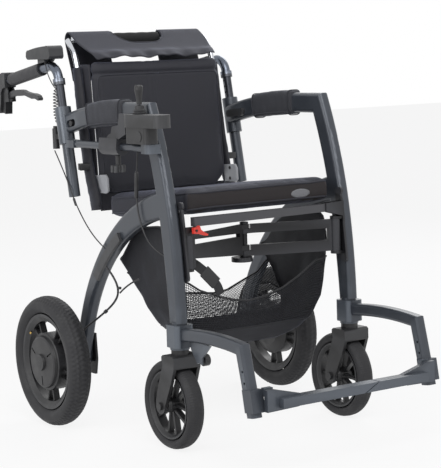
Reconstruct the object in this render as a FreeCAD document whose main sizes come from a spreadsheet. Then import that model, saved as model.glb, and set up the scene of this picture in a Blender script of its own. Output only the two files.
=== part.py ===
import FreeCAD, Part
import math
import os
import re
import Sketcher

# Rollator transport chair: two side frames on a folding link, a seat, a lift-off back,
# flip-up footplates, swivelling push handles and motor rear wheels.
# +Z is up, the chair faces -Y, and +X is the sitter's left.
# Lengths along Y are measured from the front wheels' axle and moved by front_axle_y, so that
# the origin ends up on the floor under the middle of the whole chair.

App = FreeCAD
doc = App.newDocument("TransportChair")
sheet = doc.addObject("Spreadsheet::Sheet", "Dims")

groups = {
    "whole chair": dict(front_axle_y=-211.5, frame_x=241, tube_width=28, tube_depth=48, tube_round=9.5),
    "front leg": dict(leg_foot_y=-34, leg_foot_z=292, leg_foot_depth=42, leg_joint_y=-15, leg_joint_z=490,
                      leg_top_y=57, leg_top_z=758, leg_bow=1150),
    "armrest": dict(arm_mid_y=160, arm_mid_z=758, arm_end_y=440, arm_end_z=724, arm_pad_reach=162),
    "rear arch": dict(arch_centre_y=-81, arch_centre_z=67, arch_radius=495, arch_root_turn=82,
                      arch_root_depth=64, arch_end_turn=9, arch_end_depth=40, arch_outer_bow=535, arch_inner_bow=455),
    "rear wheel": dict(rear_axle_y=398, rear_radius=158, rear_x=335, rear_tyre_width=56, rear_rim_radius=113,
                       rear_rim_width=40, rear_rim_inner=98, motor_radius=70, motor_width=58, motor_cap_radius=64,
                       hub_button_radius=19.5, rear_axle_radius=8, rear_spoke_width=5),
    "caster": dict(caster_radius=102.5, caster_tyre_width=44, caster_rim_radius=78, caster_rim_width=34,
                   caster_rim_inner=68, caster_hub_radius=17, caster_axle_radius=5, caster_spoke_width=6,
                   trail=35, fork_half=36, fork_blade=8, fork_top=222, stem_radius=9, post_radius=17,
                   post_foot_z=233.5),
    "push handle": dict(handle_x=247, handle_axis_y=462, handle_axis_z=827, handle_lean=11, height_tube_radius=11,
                        sleeve_radius=20, sleeve_length=90, sleeve_low=-152, guide_radius=14, guide_length=130,
                        bar_radius=11.5, grip_radius=16.5, grip_length=165, running_gap=0.4),
    "fold link": dict(hinge_x=208, hinge_y=-32, apex_y=47, link_low=411, link_high=486, link_bar_width=11,
                      knuckle_radius=12, pin_radius=5, apex_pin_radius=7, upper_bar=21, lower_bar=26),
    "seat": dict(seat_half=206, seat_front_y=-28, seat_rear_y=331, seat_front_top=583, seat_rear_top=553,
                 seat_thick=50, rail_low=505, rail_high=525, rail_front_y=-47, rail_deep=16, rail_pin_x=178),
    "back": dict(back_half=188, back_low_y=378, back_low_z=545, back_lean=4, back_height=330, back_thick=30,
                 back_tube_radius=9, back_post_x=199),
    "footrest": dict(hanger_arm_z=267, hanger_corner_y=-282, hanger_tube_foot_y=-318, hanger_tube_foot_z=126,
                     hanger_depth=28, hanger_width=26, strip_front_y=-366, strip_deep=28, strip_low=147,
                     strip_high=167, scarf_gap=3.5, plate_pin_x=214, plate_pin_z=180),
    "joystick": dict(joy_bar_x=274, joy_bar_z=682, joy_bar_radius=8.5, stick_y=20, pod_z=765),
}


def fill_sheet():
    row = 1
    for title, cells in groups.items():
        sheet.set("A%d" % row, title)
        row += 1
        for alias, number in cells.items():
            sheet.set("A%d" % row, alias)
            sheet.set("B%d" % row, str(number))
            sheet.setAlias("B%d" % row, alias)
            row += 1
    doc.recompute()


fill_sheet()


class Size:
    """A length that knows its number and the sheet expression that it came from."""

    def __init__(self, number, text):
        self.number = number
        self.text = text

    def join(self, other, sign, swap=False):
        other = size(other)
        first, second = (other, self) if swap else (self, other)
        steps = {"+": first.number + second.number, "-": first.number - second.number,
                 "*": first.number * second.number}
        number = steps[sign] if sign in steps else first.number / second.number
        return Size(number, "(%s %s %s)" % (first.text, sign, second.text))

    def __add__(self, other):
        return self.join(other, "+")

    def __radd__(self, other):
        return self.join(other, "+", True)

    def __sub__(self, other):
        return self.join(other, "-")

    def __rsub__(self, other):
        return self.join(other, "-", True)

    def __mul__(self, other):
        return self.join(other, "*")

    def __rmul__(self, other):
        return self.join(other, "*", True)

    def __truediv__(self, other):
        return self.join(other, "/")

    def __neg__(self):
        return self.join(-1, "*", True)

    def __float__(self):
        return float(self.number)


def size(value):
    if isinstance(value, Size):
        return value
    return Size(float(value), repr(float(value)))


class Sheet:
    """Gives a cell of the sheet by its alias, as a Size."""

    def __getattr__(self, alias):
        return Size(float(sheet.get(alias)), "Dims." + alias)


d = Sheet()
X, Y, Z = App.Vector(1, 0, 0), App.Vector(0, 1, 0), App.Vector(0, 0, 1)
planes = {"XY": "XY_Plane", "XZ": "XZ_Plane", "YZ": "YZ_Plane"}
subparts = {}


def bind(thing, path, value):
    if isinstance(value, Size):
        thing.setExpression(path, value.text)
    else:
        root, _, tail = path.partition(".")
        if tail:
            thing.setExpression(path, repr(float(value)))
        else:
            setattr(thing, root, value)


def put(thing, x=0, y=0, z=0, axis=Z, angle=0, attachment=False):
    """Places a feature; its lengths stay bound to the sheet."""
    name = "AttachmentOffset" if attachment else "Placement"
    setattr(thing, name, App.Placement(App.Vector(float(size(x)), float(size(y)), float(size(z))),
                                       App.Rotation(axis, float(size(angle)))))
    for letter, value in zip("xyz", (x, y, z)):
        if isinstance(value, Size):
            thing.setExpression("%s.Base.%s" % (name, letter), value.text)
    return thing


def finish(label, thing, x=0, y=0, z=0, axis=Z, angle=0):
    """Names a sub-part and sets it in the chair, with Y counted from the front axle."""
    put(thing, x, d.front_axle_y + y, z, axis, angle)
    thing.Label = label
    subparts[label] = thing
    return thing


def mirror(label, source):
    """The same sub-part on the other side of the chair."""
    twin = doc.addObject("Part::Mirroring", label)
    twin.Source = subparts[source]
    twin.Normal = X
    twin.Base = App.Vector(0, 0, 0)
    twin.Label = label
    subparts[label] = twin
    return twin


def fuse(*pieces):
    whole = doc.addObject("Part::MultiFuse", "Fused")
    whole.Shapes = list(pieces)
    whole.Refine = True
    return whole


def body(name):
    return doc.addObject("PartDesign::Body", name)


def on_plane(holder, plane, offset=None):
    sketch = holder.newObject("Sketcher::SketchObject", "Sketch")
    origin = [f for f in holder.Origin.OriginFeatures if f.Role == planes[plane]][0]
    sketch.AttachmentSupport = [(origin, "")]
    sketch.MapMode = "FlatFace"
    if offset:
        put(sketch, attachment=True, **offset)
    return sketch


def arc_centre(start, end, radius):
    """Centre of the arc from start to end; a positive radius bends to the left."""
    run = App.Vector(end[0] - start[0], end[1] - start[1], 0)
    half = run.Length / 2
    rise = math.sqrt(max(radius * radius - half * half, 0))
    side = App.Vector(-run.y, run.x, 0).normalize() * (rise if radius > 0 else -rise)
    return App.Vector(start[0], start[1], 0) + run * 0.5 + side


def place_at(sketch, item, place, across, value):
    """Binds one coordinate of a sketch point: 0 for its x, 1 for its y."""
    value = size(value)
    if abs(value.number) < 1e-9:
        sketch.addConstraint(Sketcher.Constraint("PointOnObject", item, place, -1 if across else -2))
        return
    kind = "DistanceY" if across else "DistanceX"
    rule = sketch.addConstraint(Sketcher.Constraint(kind, -1, 1, item, place, value.number))
    sketch.setExpression("Constraints[%d]" % rule, value.text)


def outline(sketch, corners, closed=True):
    """Draws a profile through corners (x, y) or (x, y, radius), where radius makes the stretch
    that ends there an arc. Every corner and radius is bound to the sheet."""
    count = len(corners)
    number = [(float(size(c[0])), float(size(c[1]))) for c in corners]
    ends = []
    for i in range(count if closed else count - 1):
        j = (i + 1) % count
        start, end = number[i], number[j]
        if len(corners[j]) == 3:
            radius = float(size(corners[j][2]))
            centre = arc_centre(start, end, radius)
            from_angle = math.atan2(start[1] - centre.y, start[0] - centre.x)
            to_angle = math.atan2(end[1] - centre.y, end[0] - centre.x)
            if radius < 0:
                from_angle, to_angle = to_angle, from_angle
            circle = Part.Circle(centre, Z, abs(radius))
            item = sketch.addGeometry(Part.ArcOfCircle(circle, from_angle, to_angle), False)
            ends.append((item, 1, 2) if radius > 0 else (item, 2, 1))
            chord = math.hypot(end[0] - start[0], end[1] - start[1])
            if abs(radius) > chord / 2 + 0.001:
                rule = sketch.addConstraint(Sketcher.Constraint("Radius", item, abs(radius)))
                bound = size(corners[j][2])
                sign = "" if radius > 0 else "-"
                sketch.setExpression("Constraints[%d]" % rule, "%s(%s)" % (sign, bound.text))
            else:
                upright = abs(end[1] - start[1]) > abs(end[0] - start[0])
                place_at(sketch, item, 3, 0 if upright else 1,
                         (size(corners[i][0 if upright else 1]) + corners[j][0 if upright else 1]) / 2)
        else:
            line = Part.LineSegment(App.Vector(*start, 0), App.Vector(*end, 0))
            item = sketch.addGeometry(line, False)
            ends.append((item, 1, 2))
    for i, (item, first, last) in enumerate(ends):
        if i + 1 < len(ends) or closed:
            other, other_first, other_last = ends[(i + 1) % len(ends)]
            sketch.addConstraint(Sketcher.Constraint("Coincident", item, last, other, other_first))
    for i, corner in enumerate(corners):
        item, place = (ends[i][0], ends[i][1]) if i < len(ends) else (ends[-1][0], ends[-1][2])
        place_at(sketch, item, place, 0, corner[0])
        place_at(sketch, item, place, 1, corner[1])
    return sketch


def circle(sketch, radius, x=0, y=0):
    item = sketch.addGeometry(Part.Circle(App.Vector(float(size(x)), float(size(y)), 0), Z, float(size(radius))), False)
    rule = sketch.addConstraint(Sketcher.Constraint("Radius", item, float(size(radius))))
    sketch.setExpression("Constraints[%d]" % rule, size(radius).text)
    place_at(sketch, item, 3, 0, x)
    place_at(sketch, item, 3, 1, y)
    return sketch


def pad(holder, sketch, length, middle=False, back=False):
    feature = holder.newObject("PartDesign::Pad", "Pad")
    feature.Profile = sketch
    bind(feature, "Length", size(length))
    feature.Midplane = middle
    feature.Reversed = back
    return feature


def pocket(holder, sketch, length=None, middle=False, back=False):
    feature = holder.newObject("PartDesign::Pocket", "Pocket")
    feature.Profile = sketch
    if length is None:
        feature.Type = "ThroughAll"
    else:
        bind(feature, "Length", size(length))
    feature.Midplane = middle
    feature.Reversed = back
    return feature


def lathe(holder, corners, groove=False):
    """Turns a profile (radius, height) about the body's Z axis."""
    sketch = outline(on_plane(holder, "XZ"), corners)
    feature = holder.newObject("PartDesign::Groove" if groove else "PartDesign::Revolution", "Turned")
    feature.Profile = sketch
    feature.ReferenceAxis = (sketch, ["V_Axis"])
    feature.Angle = 360
    return feature


def ring_of(holder, feature, count):
    """Repeats a feature evenly about the body's Z axis."""
    doc.recompute()
    pattern = holder.newObject("PartDesign::PolarPattern", "Ring")
    pattern.Originals = [feature]
    axis = [f for f in holder.Origin.OriginFeatures if f.Role == "Z_Axis"][0]
    pattern.Axis = (axis, [""])
    pattern.Angle = 360
    pattern.Occurrences = count
    holder.Tip = pattern
    return pattern


def soften(holder, edges, radius):
    """Rounds the edges of a body's last feature that a test picks out."""
    doc.recompute()
    base = holder.Tip
    picked = ["Edge%d" % (i + 1) for i, edge in enumerate(base.Shape.Edges) if edges(edge)]
    feature = holder.newObject("PartDesign::Fillet", "Softened")
    feature.Base = (base, picked)
    bind(feature, "Radius", size(radius))
    return feature


def rounded_rectangle(sketch, half_x, low_y, high_y, corner):
    """Draws a round-cornered rectangle, counter-clockwise from its lower left."""
    return outline(sketch, [
        (corner - half_x, low_y, corner), (half_x - corner, low_y),
        (half_x, low_y + corner, corner), (half_x, high_y - corner),
        (half_x - corner, high_y, corner), (corner - half_x, high_y),
        (-half_x, high_y - corner, corner), (-half_x, low_y + corner)])


def section(holder, y, z, lean, deep, wide, corner):
    """A round-cornered tube section across a limb that leans back by an angle from upright."""
    sketch = on_plane(holder, "XY", dict(x=0, y=y, z=z, axis=X, angle=-lean))
    deep = size(deep)
    return rounded_rectangle(sketch, size(wide) / 2, -deep / 2, deep / 2, size(corner))


def loft(holder, sections):
    feature = holder.newObject("PartDesign::AdditiveLoft", "Loft")
    feature.Profile = sections[0]
    feature.Sections = sections[1:]
    feature.Ruled = True
    return feature


def pipe(holder, profile, spine, mitred=False):
    feature = holder.newObject("PartDesign::AdditivePipe", "Pipe")
    feature.Profile = profile
    feature.Spine = (spine, [])
    if mitred:
        feature.Transition = "Right corner"
    return feature


lean = math.radians(float(d.handle_lean))


def along_handle(distance):
    """Height tube axis: how far back and up a point lies from the ring."""
    return d.handle_axis_y + distance * math.sin(lean), d.handle_axis_z + distance * math.cos(lean)


def handle_disc(holder, distance, radius, x=0):
    """A circle across the height tube's axis, at a distance up from the ring."""
    y, z = along_handle(distance)
    sketch = on_plane(holder, "XY", dict(x=x, y=y, z=z, axis=X, angle=-d.handle_lean))
    return circle(sketch, radius)


def beside(y, z, heading, distance):
    """The point to the left of a path that passes (y, z), with its heading in degrees from +Y."""
    angle = math.radians(heading)
    return y - distance * math.sin(angle), z + distance * math.cos(angle)


def heading(start, end):
    """Direction from one (y, z) point to another, in degrees from +Y."""
    return math.degrees(math.atan2(float(end[1] - start[1]), float(end[0] - start[0])))


def tangent_bow(start, end, end_heading):
    """Radius of the arc through two points that reaches the second one at a heading."""
    chord = math.hypot(float(end[0] - start[0]), float(end[1] - start[1]))
    return chord / 2 / math.sin(math.radians(heading(start, end) - end_heading))


def armrest_bow():
    """Radius of the armrest's arc, which starts level and falls to the armrest's end."""
    middle, end = (d.arm_mid_y, d.arm_mid_z), (d.arm_end_y, d.arm_end_z)
    return tangent_bow(middle, end, 2 * heading(middle, end))


def leg_and_armrest(frame):
    """Flat tube: leg that bows back, and past the mitred corner an armrest that falls to the rear."""
    foot, joint = (d.leg_foot_y, d.leg_foot_z), (d.leg_joint_y, d.leg_joint_z)
    top, middle, end = (d.leg_top_y, d.leg_top_z), (d.arm_mid_y, d.arm_mid_z), (d.arm_end_y, d.arm_end_z)
    chord = math.hypot(float(top[0] - joint[0]), float(top[1] - joint[1]))
    half_turn = math.degrees(math.asin(chord / 2 / float(d.leg_bow)))
    low, high = heading(joint, top) + half_turn, heading(joint, top) - half_turn
    foot_heading = 2 * heading(foot, joint) - low
    arm_fall = 2 * heading(middle, end)
    arm_bow = armrest_bow()
    half, foot_half = d.tube_depth / 2, d.leg_foot_depth / 2
    mitre = half / math.tan(math.radians((180 - high) / 2))
    outer_corner, inner_corner = (top[0] - mitre, top[1] + half), (top[0] + mitre, top[1] - half)
    front_foot, rear_foot = beside(*foot, foot_heading, foot_half), beside(*foot, foot_heading, -foot_half)
    front_joint, rear_joint = beside(*joint, low, half), beside(*joint, low, -half)
    leg_side = on_plane(frame, "YZ")
    outline(leg_side, [front_foot, (*front_joint, -tangent_bow(front_foot, front_joint, low)),
                       (*outer_corner, -half - d.leg_bow), inner_corner, (*rear_joint, d.leg_bow - half),
                       (*rear_foot, tangent_bow(rear_foot, rear_joint, low))])
    pad(frame, leg_side, d.tube_width, middle=True)
    soften(frame, along_tube, d.tube_round)
    armrest = body("Armrest")
    arm_side = on_plane(armrest, "YZ")
    outline(arm_side, [inner_corner, outer_corner, (middle[0], middle[1] + half),
                       (*beside(*end, arm_fall, half), -half - arm_bow), beside(*end, arm_fall, -half),
                       (middle[0], middle[1] - half, arm_bow - half)])
    pad(armrest, arm_side, d.tube_width, middle=True)
    soften(armrest, along_tube, d.tube_round)
    return armrest


def along_tube(edge):
    """True for the long edges of a tube that lies in a YZ plane."""
    bounds = edge.BoundBox
    return bounds.XLength < 0.01 and edge.Length > 75


def rear_arch():
    """Curved tube from the front leg to the rear axle, deeper where it leaves the leg."""
    arch = body("RearArch")
    corners = []
    for turn, shift in ((d.arch_root_turn, -d.arch_root_depth / 2), (d.arch_end_turn, -d.arch_end_depth / 2),
                        (d.arch_end_turn, d.arch_end_depth / 2), (d.arch_root_turn, d.arch_root_depth / 2)):
        angle, reach = math.radians(float(turn)), d.arch_radius + shift
        corners.append((d.arch_centre_y + reach * math.cos(angle), d.arch_centre_z + reach * math.sin(angle)))
    inner_root, inner_end, outer_end, outer_root = corners
    side = on_plane(arch, "YZ")
    outline(side, [inner_root, (*inner_end, -d.arch_inner_bow), outer_end, (*outer_root, d.arch_outer_bow)])
    pad(arch, side, d.tube_width, middle=True)
    soften(arch, along_tube, d.tube_round)
    return arch


def side_frame():
    """Front leg, armrest and rear arch of one side, with the handle's sleeve and guide tube."""
    frame = body("SideFrame")
    armrest = leg_and_armrest(frame)
    joined = frame.newObject("PartDesign::Boolean", "Joined")
    joined.Type = "Fuse"
    joined.setObjects([armrest, rear_arch()])
    frame.Tip = joined
    doc.recompute()
    shift = d.handle_x - d.frame_x
    pad(frame, handle_disc(frame, d.sleeve_low, d.sleeve_radius, shift), d.sleeve_length)
    pad(frame, handle_disc(frame, d.sleeve_low, d.guide_radius, shift), d.guide_length, back=True)
    post = circle(on_plane(frame, "XY", dict(y=-d.trail, z=d.post_foot_z)), d.post_radius)
    pad(frame, post, d.leg_foot_z - d.post_foot_z + 4)
    collar = circle(on_plane(frame, "XY", dict(y=-d.trail, z=d.post_foot_z)), d.post_radius + 5)
    pad(frame, collar, 5)
    doc.recompute()
    bore = handle_disc(frame, d.sleeve_low - d.guide_length - 2, d.height_tube_radius + d.running_gap, shift)
    pocket(frame, bore, d.guide_length + d.sleeve_length + 4, back=True)
    stem = circle(on_plane(frame, "XY", dict(y=-d.trail, z=d.post_foot_z - 1)), d.stem_radius + 0.06)
    pocket(frame, stem, 56, back=True)
    axle = circle(on_plane(frame, "YZ"), d.rear_axle_radius + 0.1, d.rear_axle_y, d.rear_radius)
    pocket(frame, axle, d.tube_width + 10, middle=True)
    recess = outline(on_plane(frame, "YZ"), [(386, 722, 9), (410, 718), (410, 736, 9), (386, 740)])
    pocket(frame, recess, d.tube_width + 10, middle=True)
    return finish("left_side_frame", frame, x=d.frame_x)


def arm_pad():
    """Padded sleeve wrapped round the armrest."""
    wrap = body("ArmPad")
    middle = (d.arm_mid_y, d.arm_mid_z)
    bow = armrest_bow()
    fall = bow - math.sqrt(bow * bow - d.arm_pad_reach.number ** 2)
    start_y = d.arm_mid_y - 10
    spine = on_plane(wrap, "YZ")
    outline(spine, [(start_y, d.arm_mid_z), middle, (d.arm_mid_y + d.arm_pad_reach, d.arm_mid_z - fall, -bow)],
            closed=False)
    skin = on_plane(wrap, "XZ", dict(z=-start_y))
    skin_half, skin_deep = d.tube_width / 2 + 7, d.tube_depth / 2 + 7
    rounded_rectangle(skin, skin_half, d.arm_mid_z - skin_deep, d.arm_mid_z + skin_deep, size(14))
    pipe(wrap, skin, spine)
    doc.recompute()
    inner = on_plane(wrap, "XZ", dict(z=-start_y))
    gap_half, gap_deep = d.tube_width / 2 + 0.4, d.tube_depth / 2 + 0.4
    rounded_rectangle(inner, gap_half, d.arm_mid_z - gap_deep, d.arm_mid_z + gap_deep, d.tube_round)
    hollow = wrap.newObject("PartDesign::SubtractivePipe", "Hollow")
    hollow.Profile = inner
    hollow.Spine = (spine, [])
    return finish("left_arm_pad", wrap, x=d.frame_x)


def rear_wheel():
    """Pneumatic tyre, and a cast wheel with five pairs of thin spokes round its hub motor."""
    tyre = body("Tyre")
    half, rim = d.rear_tyre_width / 2, d.rear_rim_radius
    bead = d.rear_rim_width / 2 - 5.4
    lathe(tyre, [(rim + 0.2, -bead), (rim + 3.4, -bead - 0.6), (rim + 10, 2 - half), (rim + 22, -half),
                 (d.rear_radius - 8, 9 - half, 26), (d.rear_radius, 0, 40), (d.rear_radius - 8, half - 9, 40),
                 (rim + 22, half, 26), (rim + 10, half - 2), (rim + 3.4, bead + 0.6), (rim + 0.2, bead)])
    finish("left_rear_tyre", tyre, x=d.rear_x, y=d.rear_axle_y, z=d.rear_radius, axis=Y, angle=90)

    wheel = body("RearWheel")
    side, inner = d.rear_rim_width / 2, d.rear_rim_inner
    lathe(wheel, [(rim, -side + 5), (rim, side - 5), (rim + 3, side - 4), (rim + 3, side), (rim - 4, side),
                  (inner, side - 8), (inner, 8 - side), (rim - 4, -side), (rim + 3, -side), (rim + 3, 4 - side)])
    bore = d.rear_axle_radius + 0.06
    drum, cap, deep = d.motor_radius, d.motor_cap_radius, d.motor_width / 2
    lathe(wheel, [(bore, -deep), (drum - 26, -deep), (drum - 8, 7 - deep), (drum, 12 - deep), (drum, deep - 10),
                  (drum - 3, deep - 8), (cap, deep - 8), (cap - 2, deep - 2), (cap - 6, deep),
                  (d.hub_button_radius + 1, deep + 2), (d.hub_button_radius, deep + 7), (0, deep + 8), (0, deep - 2), (bore, deep - 2)])
    spokes = on_plane(wheel, "XY")
    thick = d.rear_spoke_width
    outline(spokes, [(drum - 2, 6), (inner + 3, 13), (inner + 3, thick + 13), (drum - 2, thick + 6)])
    first = pad(wheel, spokes, 16, middle=True)
    ring_of(wheel, first, 5)
    mates = on_plane(wheel, "XY")
    outline(mates, [(drum - 2, -thick - 6), (inner + 3, -thick - 13), (inner + 3, -13), (drum - 2, -6)])
    second = pad(wheel, mates, 16, middle=True)
    ring_of(wheel, second, 5)
    slot = on_plane(wheel, "XY", dict(z=deep + 3))
    outline(slot, [(34, -2), (cap - 7, -2), (cap - 7, 2), (34, 2)])
    cut_slot = pocket(wheel, slot, 5)
    ring_of(wheel, cut_slot, 3)
    finish("left_rear_wheel", wheel, x=d.rear_x, y=d.rear_axle_y, z=d.rear_radius, axis=Y, angle=90)


def axle_plate():
    """Fixed axle of a rear wheel, on its black plate at the arch's inner side."""
    plate = body("AxlePlate")
    face = on_plane(plate, "YZ")
    outline(face, [(382, 112), (420, 112), (424, 150), (412, 214), (378, 214), (374, 150)])
    pad(plate, face, 6, back=True)
    shaft = circle(on_plane(plate, "YZ"), d.rear_axle_radius, d.rear_axle_y, d.rear_radius)
    pad(plate, shaft, d.rear_x - d.frame_x + d.tube_width / 2 + d.motor_width / 2 - 4)
    nut = on_plane(plate, "YZ", dict(z=-6))
    circle(nut, 11, d.rear_axle_y, d.rear_radius)
    pad(plate, nut, 7, back=True)
    return finish("left_axle_plate", plate, x=d.frame_x - d.tube_width / 2 - 0.3)


def caster_parts():
    fork = body("Fork")
    radius, back_off, top, half = d.caster_radius, d.trail, d.fork_top, d.fork_half
    side = on_plane(fork, "YZ")
    outline(side, [(-back_off - 27, top - 4), (-back_off - 27, top - 26), (-back_off - 13, radius + 58),
                   (-18, radius), (18, radius, 18), (17, radius + 14), (1, radius + 58), (-back_off + 19, top - 22),
                   (-back_off + 23, top - 4, 24), (-back_off + 18, top), (-back_off - 22, top)])
    pad(fork, side, half * 2, middle=True)
    pocket(fork, circle(on_plane(fork, "YZ"), radius + 6, 0, radius), (half - d.fork_blade) * 2, middle=True)
    race = circle(on_plane(fork, "XY", dict(y=-back_off, z=top - 2)), d.stem_radius + 11)
    pad(fork, race, d.post_foot_z - top + 1.6)
    pad(fork, circle(on_plane(fork, "XY", dict(y=-back_off, z=top)), d.stem_radius), 60)
    pad(fork, circle(on_plane(fork, "YZ"), d.caster_axle_radius, 0, radius), half * 2 + 1, middle=True)
    for back in (False, True):
        bolt = on_plane(fork, "YZ", dict(z=(half - 1) * (-1 if back else 1)))
        pad(fork, circle(bolt, d.caster_axle_radius + 4, 0, radius), 6, back=back)
    finish("left_caster_fork", fork, x=d.frame_x)

    tyre = body("CasterTyre")
    wide, rim = d.caster_tyre_width / 2, d.caster_rim_radius
    lathe(tyre, [(rim + 0.2, 7 - wide), (rim + 6, 1 - wide), (rim + 14, 1.5 - wide, 30), (radius, 0, 34),
                 (rim + 14, wide - 1.5, 34), (rim + 6, wide - 1, 30), (rim + 0.2, wide - 7)])
    finish("left_caster_tyre", tyre, x=d.frame_x, z=radius, axis=Y, angle=90)

    wheel = body("CasterWheel")
    deep, inner, hub = d.caster_rim_width / 2, d.caster_rim_inner, d.caster_hub_radius
    lathe(wheel, [(rim, -deep), (rim, deep), (rim - 4, deep), (inner, deep - 7), (inner, 7 - deep),
                  (rim - 4, -deep)])
    bore = d.caster_axle_radius + 0.06
    lathe(wheel, [(bore, -22), (hub - 3, -22), (hub, -15), (hub, 15), (hub - 3, 22), (bore, 22)])
    for sign in (1, -1):
        spoke = on_plane(wheel, "XY")
        wide_spoke = d.caster_spoke_width
        if sign > 0:
            outline(spoke, [(hub - 3, 3), (inner + 3, 14), (inner + 3, wide_spoke + 14), (hub - 4, wide_spoke + 3)])
        else:
            outline(spoke, [(hub - 4, -wide_spoke - 3), (inner + 3, -wide_spoke - 14), (inner + 3, -14), (hub - 3, -3)])
        ring_of(wheel, pad(wheel, spoke, 14, middle=True), 5)
    finish("left_caster_wheel", wheel, x=d.frame_x, z=radius, axis=Y, angle=90)


def height_lock():
    """Lever in the armrest's recess that frees the push handle's height tube."""
    lever = body("HeightLock")
    inner = -d.tube_width / 2
    paddle = on_plane(lever, "YZ", dict(z=inner - 9.5))
    outline(paddle, [(-40, 14), (-42, 2, 8), (-34, -6, 8), (20, -10), (20, 8, 9), (0, 11)])
    pad(lever, paddle, 9)
    key = circle(on_plane(lever, "YZ", dict(z=inner - 5)), 6.8)
    pad(lever, key, d.tube_width + 6)
    return finish("left_height_lock", lever, x=d.frame_x, y=398, z=728.6)


def handle():
    """Height tube, cranked bar, grip, brake housing and brake lever of one push handle."""
    tube = body("HeightTube")
    pad(tube, handle_disc(tube, -232, d.height_tube_radius), 232)
    pad(tube, handle_disc(tube, -7, d.height_tube_radius + 4), 7)
    for hole in range(3):
        y, z = along_handle(-16 - 15 * hole)
        pin_hole = circle(on_plane(tube, "YZ"), 2.6, y, z)
        pocket(tube, pin_hole, 60, middle=True)
    finish("left_height_tube", tube, x=d.handle_x)

    bar = body("HandleBar")
    start = along_handle(0.4)
    bend = along_handle(8)
    spine = on_plane(bar, "YZ")
    outline(spine, [start, bend, (d.handle_axis_y + 47, d.handle_axis_z + 39, -39),
                    (d.handle_axis_y + 262, d.handle_axis_z + 5)], closed=False)
    pipe(bar, handle_disc(bar, 0.4, d.bar_radius), spine)
    pad(bar, handle_disc(bar, 0.4, d.bar_radius + 3.5), 8)
    finish("left_handle_bar", bar, x=d.handle_x)

    grip = body("HandGrip")
    grip_y, grip_z, fall = d.handle_axis_y + 84, d.handle_axis_z + 33.2, 9
    disc = on_plane(grip, "XZ")
    disc.AttachmentOffset = App.Placement(App.Vector(0, float(grip_z), -float(grip_y)), App.Rotation(X, -fall))
    circle(disc, d.grip_radius)
    pad(grip, disc, d.grip_length, back=True)
    doc.recompute()
    bore = on_plane(grip, "XZ")
    bore.AttachmentOffset = App.Placement(App.Vector(0, float(grip_z), -float(grip_y)), App.Rotation(X, -fall))
    circle(bore, d.bar_radius + 0.2)
    pocket(grip, bore, d.grip_length + 1)
    finish("left_hand_grip", grip, x=d.handle_x)

    housing = body("BrakeHousing")
    side = on_plane(housing, "YZ")
    outline(side, [(727, 851), (744, 852, -30), (778, 843), (789, 832, -14), (781, 752, -160), (765, 748), (760, 757),
                   (752, 800, -90), (742, 812), (727, 815)])
    pad(housing, side, 32, middle=True)
    shape = on_plane(housing, "YZ")
    outline(shape, [(753, 802), (763, 752), (742, 746), (738, 780)])
    pad(housing, shape, 20, middle=True)
    for sign in (1, -1):
        cheek = on_plane(housing, "YZ", dict(z=7.2 * sign))
        outline(cheek, [(719, 778), (748, 776), (754, 804), (722, 798, 14)])
        pad(housing, cheek, 3.4, back=sign < 0)
    pad(housing, circle(on_plane(housing, "YZ"), 3, 726, 786), 21, middle=True)
    finish("left_brake_housing", housing, x=d.handle_x)

    lever = body("BrakeLever")
    blade = on_plane(lever, "YZ")
    outline(blade, [(733, 777), (716, 790, 30), (690, 794), (640, 795, -200), (600, 786), (570, 783, 60), (562, 788, -5),
                    (568, 794), (600, 800, -90), (650, 808, 200), (705, 806, -200), (733, 792, -60)])
    pad(lever, blade, 13, middle=True)
    doc.recompute()
    pocket(lever, circle(on_plane(lever, "YZ"), 3.06, 726, 786), 20, middle=True)
    finish("left_brake_lever", lever, x=d.handle_x)


def roller_bracket():
    """Plate and pin below the right hanger's arm for the kerb roller."""
    bracket = body("RollerBracket")
    side = on_plane(bracket, "YZ", dict(z=-d.frame_x - 1))
    outline(side, [(-76, 258), (-82, 238), (-106, 210), (-122, 210, 14), (-124, 224), (-158, 256)])
    pad(bracket, side, 5)
    pin = circle(on_plane(bracket, "YZ", dict(z=-d.frame_x)), 3, -115, 218)
    pad(bracket, pin, 22)
    put(bracket, y=d.front_axle_y)
    hanger = fuse(subparts["right_footrest_hanger"], bracket)
    hanger.Label = "right_footrest_hanger"
    subparts["right_footrest_hanger"] = hanger


def control_box():
    """Attendant's control box, on a clamp on the right push handle."""
    y, z = d.handle_axis_y, d.handle_axis_z
    shell = body("ControlBox")
    plan = on_plane(shell, "YZ")
    outline(plan, [(470, 892), (480, 884, 9), (580, 884), (594, 892, 13), (592, 902), (580, 907, 12),
                   (490, 916, 600), (472, 908, 14)])
    pad(shell, plan, 40, middle=True)
    clamp = outline(on_plane(shell, "YZ"), [(500, 886), (545, 886), (545, 873), (508, 878)])
    pad(shell, clamp, 26, middle=True)
    return finish("control_box", shell, x=-d.handle_x)


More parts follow.
